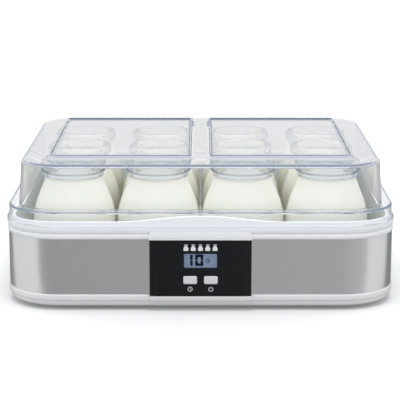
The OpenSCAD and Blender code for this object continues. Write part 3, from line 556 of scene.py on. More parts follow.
MAT = {
    "clear_plastic": clear("clear_plastic", (0.982, 0.986, 0.994), 0.01, 1.49),
    "jar_glass": clear("jar_glass", (0.995, 0.995, 0.992), 0.01, 1.15),
    "thick_glass": clear("thick_glass", (0.9, 0.905, 0.895), 0.01, 1.48),
    "window": clear("window", (0.9, 0.93, 0.97), 0.03, 1.2),
    "yogurt": yogurt_material("yogurt", (0.885, 0.875, 0.8), (0.91, 0.9, 0.835)),
    # Painted shade: the yogurt's top under the neck, greyer where the rim and lid keep light off it
    "yogurt_top_painted_shade": yogurt_material("yogurt_top_painted_shade", (0.6, 0.61, 0.6), (0.65, 0.66, 0.65)),
    "white_plastic": plastic("white_plastic", (0.9, 0.91, 0.935), (0.925, 0.935, 0.955), 0.3, coat=0.2),
    # Painted shade: the white plastic of the bottom cover and the bulges, greyer for the lesser light on them
    "white_plastic_painted_shade": plastic("white_plastic_painted_shade", (0.76, 0.765, 0.78), (0.785, 0.79, 0.805), 0.32, coat=0.1),
    # The trim: a duller finish, and a base a shade darker than the white moulding, painted shade that tones
    # down the light on its rounded faces
    "trim_dull_and_painted_shade": plastic("trim_dull_and_painted_shade", (0.81, 0.82, 0.84), (0.83, 0.84, 0.86), 0.55, specular=0.15),
    # Painted shade: the shelf under the lid's rim, where the lid shades it, and the upward faces of the
    # bulges, kept from catching full light
    "darker_painted_shade": plastic("darker_painted_shade", (0.6, 0.61, 0.63), (0.63, 0.64, 0.66), 0.55, specular=0.15),
    # Painted shade: the white tub's inside, grey where the jars and lid shade it
    "tub_painted_shade": plastic("tub_painted_shade", (0.52, 0.55, 0.55), (0.56, 0.59, 0.59), 0.4),
    "brushed_steel": brushed_steel(),
    "black_gloss": plastic(
        "black_gloss", (0.004, 0.006, 0.0075), (0.0055, 0.0075, 0.0095), 0.25, specular=0.2
    ),
    "lcd": backlit("lcd", (0.165, 0.205, 0.29), (0.18, 0.225, 0.315), 0.5),
    "lcd_ink": plastic("lcd_ink", (0.002, 0.003, 0.006), (0.003, 0.004, 0.008), 0.6, depth=0, specular=0.1),
    "print_white": plastic("print_white", (0.75, 0.76, 0.78), (0.8, 0.81, 0.83), 0.5, depth=0),
    "grey_plastic": plastic("grey_plastic", (0.66, 0.67, 0.69), (0.7, 0.71, 0.73), 0.38),
    "plunger_plastic": plastic("plunger_plastic", (0.62, 0.62, 0.6), (0.68, 0.68, 0.66), 0.5),
    "black_plastic": plastic("black_plastic", (0.02, 0.02, 0.023), (0.03, 0.03, 0.034), 0.5),
    "circuit_board": plastic("circuit_board", (0.02, 0.14, 0.05), (0.035, 0.2, 0.08), 0.4, grain=500),
    "paper_board": plastic("paper_board", (0.36, 0.24, 0.1), (0.46, 0.31, 0.14), 0.6, grain=700),
    "blue_plastic": plastic("blue_plastic", (0.03, 0.1, 0.3), (0.04, 0.13, 0.36), 0.4),
    "yellow_plastic": plastic("yellow_plastic", (0.6, 0.44, 0.06), (0.68, 0.52, 0.09), 0.4),
    "green_plastic": plastic("green_plastic", (0.05, 0.26, 0.12), (0.07, 0.32, 0.15), 0.45),
    "silicone": plastic("silicone", (0.44, 0.12, 0.05), (0.52, 0.16, 0.07), 0.6, grain=1500),
    "fuse_body": plastic("fuse_body", (0.62, 0.58, 0.48), (0.7, 0.66, 0.56), 0.55),
    "cable_plastic": plastic("cable_plastic", (0.78, 0.79, 0.81), (0.82, 0.83, 0.85), 0.42, grain=1200),
    "foot_rubber": plastic(
        "foot_rubber", (0.03, 0.03, 0.033), (0.045, 0.045, 0.05), 0.8, grain=1500, depth=0.00006
    ),
    "screw_steel": metal("screw_steel", (0.5, 0.5, 0.52), (0.6, 0.6, 0.62), 0.3)[0],
    "sheet_aluminium": metal(
        "sheet_aluminium", (0.62, 0.63, 0.64), (0.72, 0.73, 0.74), 0.35, (1, 0.03, 1)
    )[0],
    "pin_brass": metal("pin_brass", (0.68, 0.62, 0.45), (0.78, 0.72, 0.55), 0.22)[0],
}
# Painted reflection: blue-grey on the lid's mould edges and ledge, where the clear plastic reflects dark
# surroundings
MAT["clear_edge_painted_reflection"] = with_painted_reflection("clear_edge_painted_reflection", MAT["clear_plastic"], (0.16, 0.21, 0.3), 0.3, 0.6)
# Painted reflection: dark blue-grey on the rear bead of the raised panels
MAT["dark_edge_painted_reflection"] = with_painted_reflection("dark_edge_painted_reflection", MAT["clear_plastic"], (0.13, 0.16, 0.23), 0.85, 0.9)
MAT["clear_wall"] = thinned("clear_wall", MAT["clear_plastic"], 0.82)
# Painted sheen: pale grey on the front walls of the raised panels
MAT["pale_wall_painted_sheen"] = with_painted_reflection("pale_wall_painted_sheen", MAT["clear_plastic"], (0.7, 0.73, 0.78), 0.7, 0.75)
# Painted reflection: dark blue-grey on the jar rims, growing towards edge on
MAT["rim_glass_painted_reflection"] = with_painted_reflection("rim_glass_painted_reflection", MAT["thick_glass"], (0.07, 0.12, 0.18), 0.01, 0.75)


def paint_cad_nodes():
    """Every carried-over CAD node takes the material of its slot in the record."""
    for part in frame["record"]["subparts"]:
        node = frame["nodes"][part["node"]]
        node.data.materials.clear()
        node.data.materials.append(MAT[part["material_slot"]])


# ---- Lid ----


def lid_walls():
    """Profile of the lid's walls from the inside of its top, round its bottom edge, to the top's outside."""
    shoulder_r, flare_h, flare_end = 1.3, 2.4, 6
    top_in = LID_TOP_INSET
    lean = LEDGE_W + LID_DRAFT
    return filleted(
        [
            (-top_in - 2, LID_TOP_Z - LID_T),
            (-lean - LID_T, LID_TOP_Z - LID_T, LID_EDGE_R - LID_T),
            (-LEDGE_W - LID_T, LEDGE_Z - LID_T, 2.4),
            (-LID_T, LEDGE_Z - LID_T, 0.4),
            (-LID_T, SHELF_Z + flare_end, 4),
            (FLARE - LID_T, SHELF_Z + flare_h, 2),
            (FLARE - LID_T, SHELF_Z, 0.5),
            (FLARE, SHELF_Z, 0.8),
            (FLARE, SHELF_Z + flare_h, 2),
            (0, SHELF_Z + flare_end, 4),
            (0, LEDGE_Z, shoulder_r),
            (-LEDGE_W, LEDGE_Z, 0.5),
            (-lean, LID_TOP_Z, LID_EDGE_R),
            (-top_in - 2, LID_TOP_Z),
        ]
    )


def lid_top_sheet(bm, boundary, sheet_z, inset):
    """Flat sheet inside a boundary ring, with two raised panels that have a bead round them."""
    loops = [boundary]
    foot = [(3, 0), (2.4, 0), (1.6, 0.08), (0.9, 0.36), (0.4, 0.85), (0.1, 1.4)]
    level = [(-3.5, PANEL_FLAT), (-4, PANEL_FLAT)]
    if inset:
        base = foot + [(0, 1.8), (-0.1, 2.2), (-0.4, 2.55), (-0.9, 2.7), (-1.5, PANEL_FLAT)] + level
    else:
        bead = [(-0.2, 3.4), (-0.5, 3.76), (-0.9, 3.95), (-1.3, 4), (-1.8, 3.95), (-2.2, 3.7), (-2.45, 3.2)]
        base = foot + [(0, 2.1), (-0.06, 2.9)] + bead + [(-2.8, 2.85)] + level
    for side in (-1, 1):
        rings = []
        for out, rise in base:
            grow = out - inset
            pairs = round_outline(PANEL_W + 2 * grow, PANEL_D + 2 * grow, 5 + max(grow, -4), 10, 12)
            centre_x = side * (PANEL_GAP + PANEL_W) / 2
            rings.append([Vector((centre_x + p.x, p.y, sheet_z + rise)) * MM for p, _ in pairs])
        made = loft(bm, rings)
        flat_fill(bm, made[-1])
        loops.append(made[0])
    flat_fill(bm, *loops)


def outline_offset(x, y):
    """Distance of a place outside the body outline; negative inside it."""
    reach_x = max(abs(x) - BODY_W / 2 + CORNER_R, 0)
    reach_y = max(abs(y) - BODY_D / 2 + CORNER_R, 0)
    return math.hypot(reach_x, reach_y) - CORNER_R


def lid_finish(face):
    """Material of a lid face: painted dark reflections on the mould edges and the ledge, a painted pale sheen
    on the panels' front walls, thinner walls round the panels, None elsewhere.
    """
    x, y, z = face.center / MM
    up = face.normal.z
    panel_wall = z > LID_TOP_Z - LID_T + 0.02 and abs(up) < 0.97 and outline_offset(x, y) < -20
    on_bead = panel_wall and z > LID_TOP_Z + PANEL_FLAT + 0.05
    panel_end = 0.47 * PANEL_D
    if on_bead and y > panel_end:
        return "dark_edge_painted_reflection"
    beside_gap = abs(x) < PANEL_GAP / 2 + 3
    front_crest = y < -panel_end and z > LID_TOP_Z + 3.5
    if on_bead and up < 0.93 and (beside_gap or front_crest):
        return "clear_edge_painted_reflection"
    if panel_wall:
        return "pale_wall_painted_sheen" if y < -panel_end else "clear_wall"
    on_ledge = abs(z - LEDGE_Z) < 1.4 and 0.2 < up < 0.97
    return "clear_edge_painted_reflection" if on_ledge else None


def build_lid():
    bm = bmesh.new()
    rings = loft(bm, [ring_of(BODY_OUTLINE, p.x, p.y) for p in lid_walls()])
    lid_top_sheet(bm, rings[-1], LID_TOP_Z, 0)
    lid_top_sheet(bm, rings[0], LID_TOP_Z - LID_T, LID_T)
    lid = make_object("lid_shell", bm, MAT["clear_plastic"])
    paint_faces(lid, ["clear_edge_painted_reflection", "clear_wall", "dark_edge_painted_reflection", "pale_wall_painted_sheen"], lid_finish)
    place(lid, "lid", "clear_plastic", "lid")


# ---- Jars ----


def arc(centre, radius, start, end, steps):
    """Points (a, b) along part of a circle, with its angles in degrees."""
    path = []
    for i in range(steps + 1):
        a = math.radians(start + (end - start) * i / steps)
        path.append((centre[0] + radius * math.cos(a), centre[1] + radius * math.sin(a)))
    return path


def jar_side(inset, neck_inset):
    """Outline of a jar from its base to its neck, drawn inside the glass by a given depth."""
    neck = NECK_R - neck_inset
    return (
        arc((JAR_R - HEEL_R, HEEL_R), HEEL_R - inset, -90, 0, 8)
        + arc((JAR_R - SHOULDER_R, SHOULDER_Z), SHOULDER_R - inset, 0, SHOULDER_TURN, 14)
        + [(neck + 0.25, NECK_Z - 0.6), (neck, NECK_Z)]
    )


def jar_profile():
    """The glass from the middle of its underside, up the outside, over the rim and down the inside."""
    collar = NECK_R + 1.3
    inner = NECK_R - GLASS_T
    outer = filleted(
        [
            (NECK_R, NECK_Z), (collar, NECK_Z + 3, 2), (collar, JAR_H - 8.6, 0.6), (RIM_R, JAR_H - 7.6, 1.2),
            (RIM_R, JAR_H, 2.2), (inner + 0.4, JAR_H, 1.8), (inner, JAR_H - 4, 2), (inner, NECK_Z + 0.5),
        ]
    )
    push_up = [(0, 1.6), (12, 1.4), (22, 0.9), (27.5, 0.05)]
    inside = jar_side(SIDE_T, GLASS_T)[::-1]
    base = [(14, GLASS_T + 0.9), (0, GLASS_T + 1.3)]
    return push_up + jar_side(0, 0) + [(p.x, p.y) for p in outer[1:]] + inside + base


def yogurt_profile():
    """The yogurt reaches just into the glass, so that no air gap shows, and its top dips slightly."""
    lap = 0.08
    edge = NECK_R - GLASS_T + lap
    base = [(0, GLASS_T + 1.3 - lap), (14, GLASS_T + 0.9 - lap)]
    dip = FILL_H - 1.2
    top = [(edge, FILL_H), (edge - 1.2, FILL_H - 0.7), (edge - 4, FILL_H - 1.1), (edge / 2, dip), (0, dip)]
    return base + jar_side(SIDE_T - lap, GLASS_T - lap) + top


def build_jar(n):
    """One jar and its yogurt. The glass is thicker in the neck, and its rim carries a painted dark reflection
    that grows towards its edges.
    """
    x, y, _ = middle(f"jar_{n}")
    neck_z = SEAT_Z + NECK_Z

    def glass(face):
        above_neck = face.center.z / MM - neck_z
        return "rim_glass_painted_reflection" if above_neck > 5.5 else "thick_glass" if above_neck > 0 else None

    # Painted shade on the yogurt's upward faces inside the neck
    def top(face):
        return "yogurt_top_painted_shade" if face.normal.z > 0.3 and face.center.z / MM > neck_z else None

    bm = bmesh.new()
    revolve(bm, jar_profile(), (x, y, SEAT_Z))
    jar = make_object(f"jar_{n}_glass", bm, MAT["jar_glass"], TURNED_SHARP)
    paint_faces(jar, ["thick_glass", "rim_glass_painted_reflection"], glass)
    place(jar, f"jar_{n}_body", "jar_glass", f"jar_{n}")
    bm = bmesh.new()
    revolve(bm, yogurt_profile(), (x, y, SEAT_Z))
    yogurt = make_object(f"jar_{n}_yogurt", bm, MAT["yogurt"], TURNED_SHARP)
    paint_faces(yogurt, ["yogurt_top_painted_shade"], top)
    place(yogurt, f"jar_{n}_body", "yogurt", f"yogurt_{n}")


# ---- Body shells ----


def hump(x):
    """Rise of the lip above the controls."""
    if abs(x) >= HUMP_HALF_W:
        return 0
    return HUMP_H * (1 + math.cos(math.pi * x / HUMP_HALF_W)) / 2


def housing_profile():
    """Section of the tub, the lip and the shelf, from the middle of the tub's underside round its wall."""
    lip_out, lean, trim_out = -3, 4, 0.9
    lip_in, trim_in = lip_out - WALL, trim_out - WALL
    return filleted(
        [
            (-14, TUB_UNDER_Z), (lip_out - lean, TUB_UNDER_Z, 2), (lip_out - 0.4, SHELF_Z - WALL, 1),
            (trim_in, SHELF_Z - WALL, 1), (trim_in, TRIM_Z, 0.3), (trim_out, TRIM_Z, 0.4),
            (1.9, TRIM_Z + 1, 1), (1.9, SHELF_Z - 5.6, 0.8),
            (0.4, SHELF_Z - 5, 0.3), (0.4, SHELF_Z - 4.4, 0.3),
            (1.7, SHELF_Z - 3.2, 1), (2, SHELF_Z, 0.8), (lip_out, SHELF_Z, 0.6),
            (lip_out, LIP_Z, 0.9), (lip_in, LIP_Z, 0.9),
            (lip_in - lean, TUB_FLOOR_Z, 3), (-14, TUB_FLOOR_Z),
        ]
    )


def jar_seats(bm):
    """Shallow dishes in the tub's floor. Returns their upper rims."""
    dish = [(36.8, TUB_FLOOR_Z), (36.4, TUB_FLOOR_Z - 0.2), (36.1, SEAT_Z + 0.3), (35.6, SEAT_Z)]
    rims = []
    for n in range(1, JAR_COUNT + 1):
        centre = middle(f"jar_{n}")
        rings = [[Vector((x, y, z)) * MM for x, y in circle(centre, radius, 64)] for radius, z in dish]
        made = loft(bm, rings)
        bm.faces.new(made[-1])
        rims.append(made[0])
    return rims


def build_housing():
    """White moulding: the tub with its lip and seats, the shelf for the lid and the trim."""
    rings = []
    for p in housing_profile():
        ring = ring_of(BODY_OUTLINE, p.x, p.y)
        if p.y > SHELF_Z + 1 and p.x < 0:
            share = min(1, (p.y - SHELF_Z) / (LIP_Z - 1 - SHELF_Z))
            for v in ring:
                if v.y < 0:
                    v.z += hump(v.x / MM) * MM * share
        rings.append(ring)
    bm = bmesh.new()
    made = loft(bm, rings)
    bm.faces.new(made[0])
    flat_fill(bm, made[-1], *jar_seats(bm))
    housing = make_object("housing_shell", bm, MAT["white_plastic"])
    root = TUB_UNDER_Z + LAP
    boss = [(1.25, 11), (4, 11), (4, root), (0, root), (0, 22), (1.25, 22), (1.25, 11)]
    peg = [(0, TUB_UNDER_Z - 3.5), (1.6, TUB_UNDER_Z - 3.5), (2, TUB_UNDER_Z - 3.1), (2, root), (0, root)]
    fittings = bmesh.new()
    for x, y in CASE_SCREWS:
        revolve(fittings, boss, (x, y, 0), 40)
    for x, y in PEGS:
        revolve(fittings, peg, (x, y, 0), 32)
    cut_from(housing, fittings, "UNION")
    paint_faces(housing, ["tub_painted_shade", "trim_dull_and_painted_shade", "darker_painted_shade"], housing_finish)
    place(housing, "base", "white_plastic", "top_housing")
    bulge("housing_bulge", FASCIA_Z1, FASCIA_Z1 + 6.1, 1)


def housing_finish(face):
    """The tub's inside is painted grey for its shade, the trim is duller and painted a shade darker, and the
    shelf under the lid is painted darker for the lid's shadow.
    """
    x, y, z = face.center / MM
    out = outline_offset(x, y)
    if out < -5.1 and SEAT_Z - 1 < z < LIP_Z - 2.5:
        return "tub_painted_shade"
    if out > -3.1 and abs(z - SHELF_Z) < 0.55:
        return "darker_painted_shade"
    return "trim_dull_and_painted_shade" if out > 0 and z < SHELF_Z else None


def bulge(name, z0, z1, up):
    """Swelling of the white mouldings round the fascia, painted a shade greyer and darker still on its upward
    faces. up is 1 above it and -1 below it.
    """
    half_w = FASCIA_HALF_W + 1
    end_r = 5
    front, back = FASCIA_Y - BULGE_OUT, FRONT_Y + 1.2
    plan = filleted([(-half_w, back), (-half_w, front, end_r), (half_w, front, end_r), (half_w, back)], 12)
    if up > 0:
        levels = [(0, z0), (0, z0 + 3.2), (0.25, z0 + 4.4), (0.9, z1 - 0.5), (1.9, z1)]
    else:
        levels = [(0, z1), (0, z1 - 2.6), (0.3, z1 - 3.6), (1, z0 + 0.4), (1.9, z0)]
    bm = bmesh.new()
    solid(bm, narrowing(plan, half_w, back, levels))
    swelling = make_object(name, bm, MAT["white_plastic_painted_shade"])
    paint_faces(swelling, ["darker_painted_shade"], lambda face: "darker_painted_shade" if face.normal.z > 0.3 else None)
    place(swelling, "base", "white_plastic")


def narrowing(plan, half_w, back, levels):
    """Rings of a plan whose sides and front draw in by an inset at each level; its back stays put."""
    rings = []
    for inset, z in levels:
        share = (half_w - inset) / half_w
        rings.append([Vector((p.x * share, min(p.y + inset, back), z)) * MM for p in plan])
    return rings


def slot_hole(bm, x, y, length, width):
    """Upright cutter with round ends that goes through the cover's floor."""
    outline = round_outline(length, width, width / 2 - 0.01, 8, 1)
    solid(bm, [[Vector((x + p.x, y + p.y, z)) * MM for p, _ in outline] for z in (FOOT_H - 1, FOOT_H + 4)])


def level_rod(bm, radius, x, z, y0, y1):
    """Round rod that lies level along the depth."""
    outline = circle((x, z), radius, 40)
    solid(bm, [[Vector((a, y, b)) * MM for a, b in outline] for y in (y0, y1)])


def build_band():
    """Steel sheet wrapped round the body, open behind the fascia."""
    gap = FASCIA_HALF_W - 3.7
    pairs = [pn for pn in BODY_OUTLINE if not (pn[1].y < -0.99 and abs(pn[0].x) < gap)]
    first = next(i for i, (p, n) in enumerate(pairs) if n.y < -0.99 and p.x > gap - 1)
    pairs = [(Vector((gap, FRONT_Y)), Vector((0, -1)))] + pairs[first:] + pairs[:first]
    pairs.append((Vector((-gap, FRONT_Y)), Vector((0, -1))))
    profile = filleted([(0, BAND_Z), (0.8, BAND_Z, 0.15), (0.8, TRIM_Z, 0.15), (0, TRIM_Z)], 2)
    bm = bmesh.new()
    made = loft(bm, [ring_of(pairs, p.x, p.y) for p in profile], wrap=False, close=True)
    for end in (0, -1):
        bm.faces.new([ring[end] for ring in made])
    place(make_object("steel_band_sheet", bm, MAT["brushed_steel"]), "base", "brushed_steel", "steel_band")


def build_cover():
    """White tray: the lower lip and the rounded bottom edge."""
    wall_in, wall_out, wall_top, lip_out = -2.4, -0.2, TRIM_Z - 2.6, 1.6
    floor_z = FOOT_H + WALL
    profile = filleted(
        [
            (-14, floor_z), (-5, floor_z, 3), (wall_in, floor_z + 3.7, 2),
            (wall_in, wall_top, 0.5), (wall_out, wall_top, 0.5), (wall_out, BAND_Z),
            (1, BAND_Z, 0.3), (lip_out, BAND_Z - 1.2, 0.8), (lip_out, BAND_Z - 4.8, 0.8),
            (0.5, BAND_Z - 5.5, 0.3),
            (-0.1, FOOT_H + 1.9, 2), (-2, FOOT_H + 0.3, 1.5), (-6, FOOT_H, 3), (-14, FOOT_H),
        ]
    )
    bm = bmesh.new()
    solid(bm, [ring_of(BODY_OUTLINE, p.x, p.y) for p in profile])
    # The cover is painted a shade greyer than the white moulding, for the lesser light on it
    cover = make_object("cover_shell", bm, MAT["white_plastic_painted_shade"])
    cut_from(cover, cover_posts(), "UNION")
    cut_from(cover, cover_holes())
    opening = bmesh.new()
    block(opening, (-38.6, FRONT_Y - 1, 16), (38.6, FRONT_Y + 5, TRIM_Z - 1))
    level_rod(opening, 4, 60, 10, BODY_D / 2 - 8, BODY_D / 2 + 8)
    cut_from(cover, opening)
    place(cover, "base", "white_plastic", "bottom_cover")
    bulge("cover_bulge", BAND_Z - 5.4, FASCIA_Z0, -1)


def cover_posts():
    """Screw posts, board posts and the cable's clamp block, rooted in the cover's floor."""
    root = FOOT_H + LAP
    post = [(0, root), (5, root), (5, 10.6), (4.6, 11), (0, 11)]
    board_post = [(0, root), (3, root), (3, 7.5), (1, 7.5), (1, 4.2), (0, 4.2)]
    posts = bmesh.new()
    for x, y in CASE_SCREWS:
        revolve(posts, post, (x, y, 0), 40)
    for x, y in BOARD_HOLES:
        revolve(posts, board_post, (x, y, 0), 32)
    block(posts, (50, 117.5, root), (70, 124.5, 8.2))
    return posts


def cover_holes():
    """Counterbored screw holes, sockets for the feet and two ladders of air slots."""
    under, socket = FOOT_H - 1, FOOT_H + 0.8
    screw = [(0, under), (3.2, under), (3.2, 8), (1.7, 8), (1.7, 12), (0, 12)]
    foot = [(0, under), (7.1, under), (7.1, socket), (2.5, socket), (2.5, 6), (0, 6)]
    holes = bmesh.new()
    for x, y in CASE_SCREWS:
        revolve(holes, screw, (x, y, 0), 40)
    for x, y in FEET:
        revolve(holes, foot, (x, y, 0), 48)
    for side in (-1, 1):
        for row in range(-3, 4):
            slot_hole(holes, -70 + side * 26, row * 9, 36, 3)
    return holes


# ---- Controls ----


def build_fascia():
    """Hollow black panel with openings for the window and the buttons."""
    half_w, thick = FASCIA_HALF_W, 2
    back = FRONT_Y - 0.8
    step_y, ridge = FASCIA_Y + 0.3, half_w - 5.2
    plan = filleted(
        [
            (-half_w, back), (-half_w, step_y, 4.2), (-ridge - 0.5, step_y), (-ridge, FASCIA_Y, 0.2),
            (ridge, FASCIA_Y, 0.2), (ridge + 0.5, step_y), (half_w, step_y, 4.2), (half_w, back),
        ],
        10,
    )
    levels = [(0.5, FASCIA_Z0), (0.12, FASCIA_Z0 + 0.15), (0, FASCIA_Z0 + 0.5)]
    levels += [(0, FASCIA_Z1 - 0.5), (0.12, FASCIA_Z1 - 0.15), (0.5, FASCIA_Z1)]
    bm = bmesh.new()
    solid(bm, narrowing(plan, half_w, back, levels))
    body = make_object("fascia_panel", bm, MAT["black_gloss"])
    inner = FASCIA_Y + thick
    cut = bmesh.new()
    block(cut, (thick - half_w, inner, FASCIA_Z0 + thick), (half_w - thick, back + 1, FASCIA_Z1 - thick))
    cut_from(body, cut)
    through = [(0, inner + 1), (0, FASCIA_Y - 2)]
    cut = bmesh.new()
    facing_plate(cut, 28.2, 12.4, 0.8, through, 0, WINDOW_Z)
    for name in BUTTONS:
        x, _, z = middle(name)
        facing_plate(cut, 12.1, 7.3, 1.5, through, x, z)
    cut_from(body, cut)
    place(body, "base", "black_gloss", "control_fascia")


def build_buttons():
    """Caps with a softly rounded front and a flange that keeps them in the panel."""
    for name in BUTTONS:
        low, high = corners(name)
        x, _, z = middle(name)
        front, back, flange = low[1], high[1], FASCIA_Y + 2.1
        cap = [(-1.1, back), (-1.1, flange), (0, flange + 0.01), (0, front + 0.55), (0.12, front + 0.25)]
        cap += [(0.35, front + 0.08), (0.8, front), (2.4, front - 0.05)]
        bm = bmesh.new()
        facing_plate(bm, 11.7, 6.9, 1.3, cap, x, z)
        place(make_object(name + "_cap", bm, MAT["grey_plastic"]), name, "grey_plastic", name)


# The bars of each figure, named a to f clockwise from the top
SEGMENTS = {"0": "abcdef", "1": "bc"}


def digit_bars(bm, digit, x, z, w, h, y):
    """Seven-segment figure made of six-sided bars. x, z is its lower left corner."""
    bar = 2.3
    half, t = h / 2, bar / 2
    level, upright = (w, False), (half, True)
    places = {
        "a": (x + w / 2, z + h - t, *level), "d": (x + w / 2, z + t, *level),
        "b": (x + w - t, z + half * 1.5, *upright), "c": (x + w - t, z + half * 0.5, *upright),
        "f": (x + t, z + half * 1.5, *upright), "e": (x + t, z + half * 0.5, *upright),
    }
    for key in SEGMENTS[digit]:
        cx, cz, length, stands = places[key]
        reach = length / 2 - 0.06
        neck = reach - 0.35 * t
        shape = [(-reach, 0), (-neck, t), (neck, t), (reach, 0), (neck, -t), (-neck, -t)]
        slab(bm, [(cx + b, cz + a) if stands else (cx + a, cz + b) for a, b in shape], y, y + 0.1)


def slab(bm, points, y0, y1):
    """Thin flat piece that faces the front."""
    solid(bm, [[Vector((px, y, pz)) * MM for px, pz in points] for y in (y0, y1)])


def bar_slab(bm, x, z, low, high, y0, y1):
    """Thin rectangle that faces the front, from one corner to the other as seen from x, z."""
    (left, bottom), (right, top) = low, high
    outline = [(left, bottom), (right, bottom), (right, top), (left, top)]
    slab(bm, [(x + a, z + b) for a, b in outline], y0, y1)


def ring_slab(bm, x, z, outer, inner, y0, y1, start=0, end=360):
    """Thin ring, or part of one, that faces the front."""
    whole = end - start >= 360
    rings = []
    for radius, y in ((outer, y0), (outer, y1), (inner, y1), (inner, y0)):
        path = arc((x, z), radius, start, end, 28)
        rings.append([Vector((a, y, b)) * MM for a, b in (path[:-1] if whole else path)])
    made = loft(bm, rings, wrap=whole, close=True)
    if not whole:
        for side in (0, -1):
            bm.faces.new([ring[side] for ring in made])


def build_display():
    """Window, liquid crystal panel and the figures between them."""
    x, z = 0, WINDOW_Z
    lcd_y = corners("lcd_panel")[0][1]
    front = corners("display_window")[0][1]
    rings = [(-1.4, lcd_y - 0.3), (-1.4, lcd_y - 0.8), (0, lcd_y - 0.81), (0, front + 0.2), (0.2, front)]
    bm = bmesh.new()
    facing_plate(bm, 28, 12.2, 0.7, rings, x, z)
    place(make_object("window_lens", bm, MAT["window"]), "base", "window", "display_window")
    bm = bmesh.new()
    y0, y1 = lcd_y - 0.15, lcd_y - 0.05
    digit_bars(bm, "1", x - 11, z - 5, 4.4, 10, y0)
    digit_bars(bm, "0", x - 4.6, z - 5, 7, 10, y0)
    dial_x = x + 6.2
    ring_slab(bm, dial_x, z - 0.4, 1.9, 1.4, y0, y1)
    bar_slab(bm, dial_x, z, (-0.2, -0.6), (0.2, 0.9), y0, y1)
    bar_slab(bm, dial_x, z, (-0.2, -0.6), (1, -0.2), y0, y1)
    place(make_object("lcd_figures", bm, MAT["lcd_ink"]), "base", "lcd")


def jar_sign(bm, x, z, y0, y1):
    """Flat picture of a small jar whose base sits at z."""
    half = [(1.7, 0), (2.1, 0.5), (2.1, 2.4), (1.1, 3.9), (1.1, 4.3)]
    outline = half + [(-a, b) for a, b in reversed(half)]
    slab(bm, [(x + a, z + b) for a, b in outline], y0, y1)
    bar_slab(bm, x, z, (-1.4, 4.8), (1.4, 5.5), y0, y1)


def build_icons():
    """Printed signs: a clock and a power sign under the buttons, and a row of jars over the window."""
    z = 19.6
    y0, y1 = FASCIA_Y - 0.06, FASCIA_Y + 0.2
    clock_x, power_x = -8.85, 8.85
    bm = bmesh.new()
    ring_slab(bm, clock_x, z, 2.1, 1.65, y0, y1)
    bar_slab(bm, clock_x, z, (-0.2, -0.2), (0.2, 1.25), y0, y1)
    bar_slab(bm, clock_x, z, (-0.2, -0.2), (1.1, 0.2), y0, y1)
    ring_slab(bm, power_x, z, 2.1, 1.65, y0, y1, 125, 415)
    bar_slab(bm, power_x, z, (-0.22, 0.4), (0.22, 2.3), y0, y1)
    for i in range(5):
        jar_sign(bm, (i - 2) * 6.2, 53.4, y0, y1)
    place(make_object("fascia_signs", bm, MAT["print_white"]), "base", "grey_plastic")


# ---- Studio, in metres ----

FLOOR_HALF, FLOOR_DROP = 12, 0.0002
CAMERA_DIP, CAMERA_SHIFT = 12.444, -0.00125


def floor_colour(tree, dark, light):
    """Grey that drifts slightly over the floor."""
    return colour_between(tree, noise(tree, 2, 2), (dark,) * 3, (light,) * 3)


def studio_floor():
    """Pale floor: darker to bounced light than to the eye, with a glow that rises away from the part."""
    material, tree, shader = new_material("studio_floor")
    path = add(tree, "ShaderNodeLightPath")
    shade = add(tree, "ShaderNodeMix", data_type="RGBA")
    tree.links.new(path.outputs["Is Camera Ray"], shade.inputs[0])
    tree.links.new(floor_colour(tree, 0.44, 0.46), shade.inputs[6])
    tree.links.new(floor_colour(tree, 0.68, 0.69), shade.inputs[7])
    tree.links.new(shade.outputs[2], shader.inputs["Base Color"])
    shader.inputs["Roughness"].default_value = 0.9
    shader.inputs["Specular IOR Level"].default_value = 0
    where = add(tree, "ShaderNodeTexCoord")
    stretch = add(tree, "ShaderNodeVectorMath", operation="MULTIPLY")
    stretch.inputs[1].default_value = (1.05, 0.85, 1)
    tree.links.new(where.outputs["Object"], stretch.inputs[0])
    away = add(tree, "ShaderNodeVectorMath", operation="LENGTH")
    tree.links.new(stretch.outputs[0], away.inputs[0])
    # Painted shadow: the camera-only glow is lowest near the part and rises away from it, so the floor round
    # the part reads darker on top of the rendered shadow
    rise = ranged(tree, away.outputs["Value"], 0.165, 0.4, 0.08, 0.55)
    glow = math_node(tree, "MULTIPLY", path.outputs["Is Camera Ray"], rise)
    shader.inputs["Emission Color"].default_value = (1, 1, 1, 1)
    tree.links.new(glow, shader.inputs["Emission Strength"])
    half = FLOOR_HALF
    outline = [(-half, -half), (half, -half), (half, half), (-half, half)]
    bm = bmesh.new()
    bm.faces.new([bm.verts.new((x, y, 0)) for x, y in outline])
    floor = make_object("studio_floor", bm, material)
    floor.location.z = -FLOOR_DROP
    floor.visible_glossy = False


def studio_camera(scene):
    """Long lens in front of the part, looking slightly down on it."""
    camera = bpy.data.cameras.new("camera")
    camera.lens = 135
    camera.sensor_width = 36
    camera.clip_end = 60
    camera.shift_x = CAMERA_SHIFT
    holder = bpy.data.objects.new("camera", camera)
    scene.collection.objects.link(holder)
    holder.location = (0, -1.381, 0.371)
    holder.rotation_euler = (math.radians(90 - CAMERA_DIP), 0, 0)
    scene.camera = holder


def build_studio():
    scene = bpy.context.scene
    scene.view_settings.view_transform = "Standard"
    scene.cycles.use_denoising = True
    scene.cycles.max_bounces = 24
    scene.cycles.transmission_bounces = 24
    scene.cycles.glossy_bounces = 8
    scene.cycles.transparent_max_bounces = 32
    studio_floor()
    build_world(scene)
    area_light("key_overhead", (0, -0.3, 1.9), (0, 0, 0.05), 1.2, 20)
    studio_camera(scene)


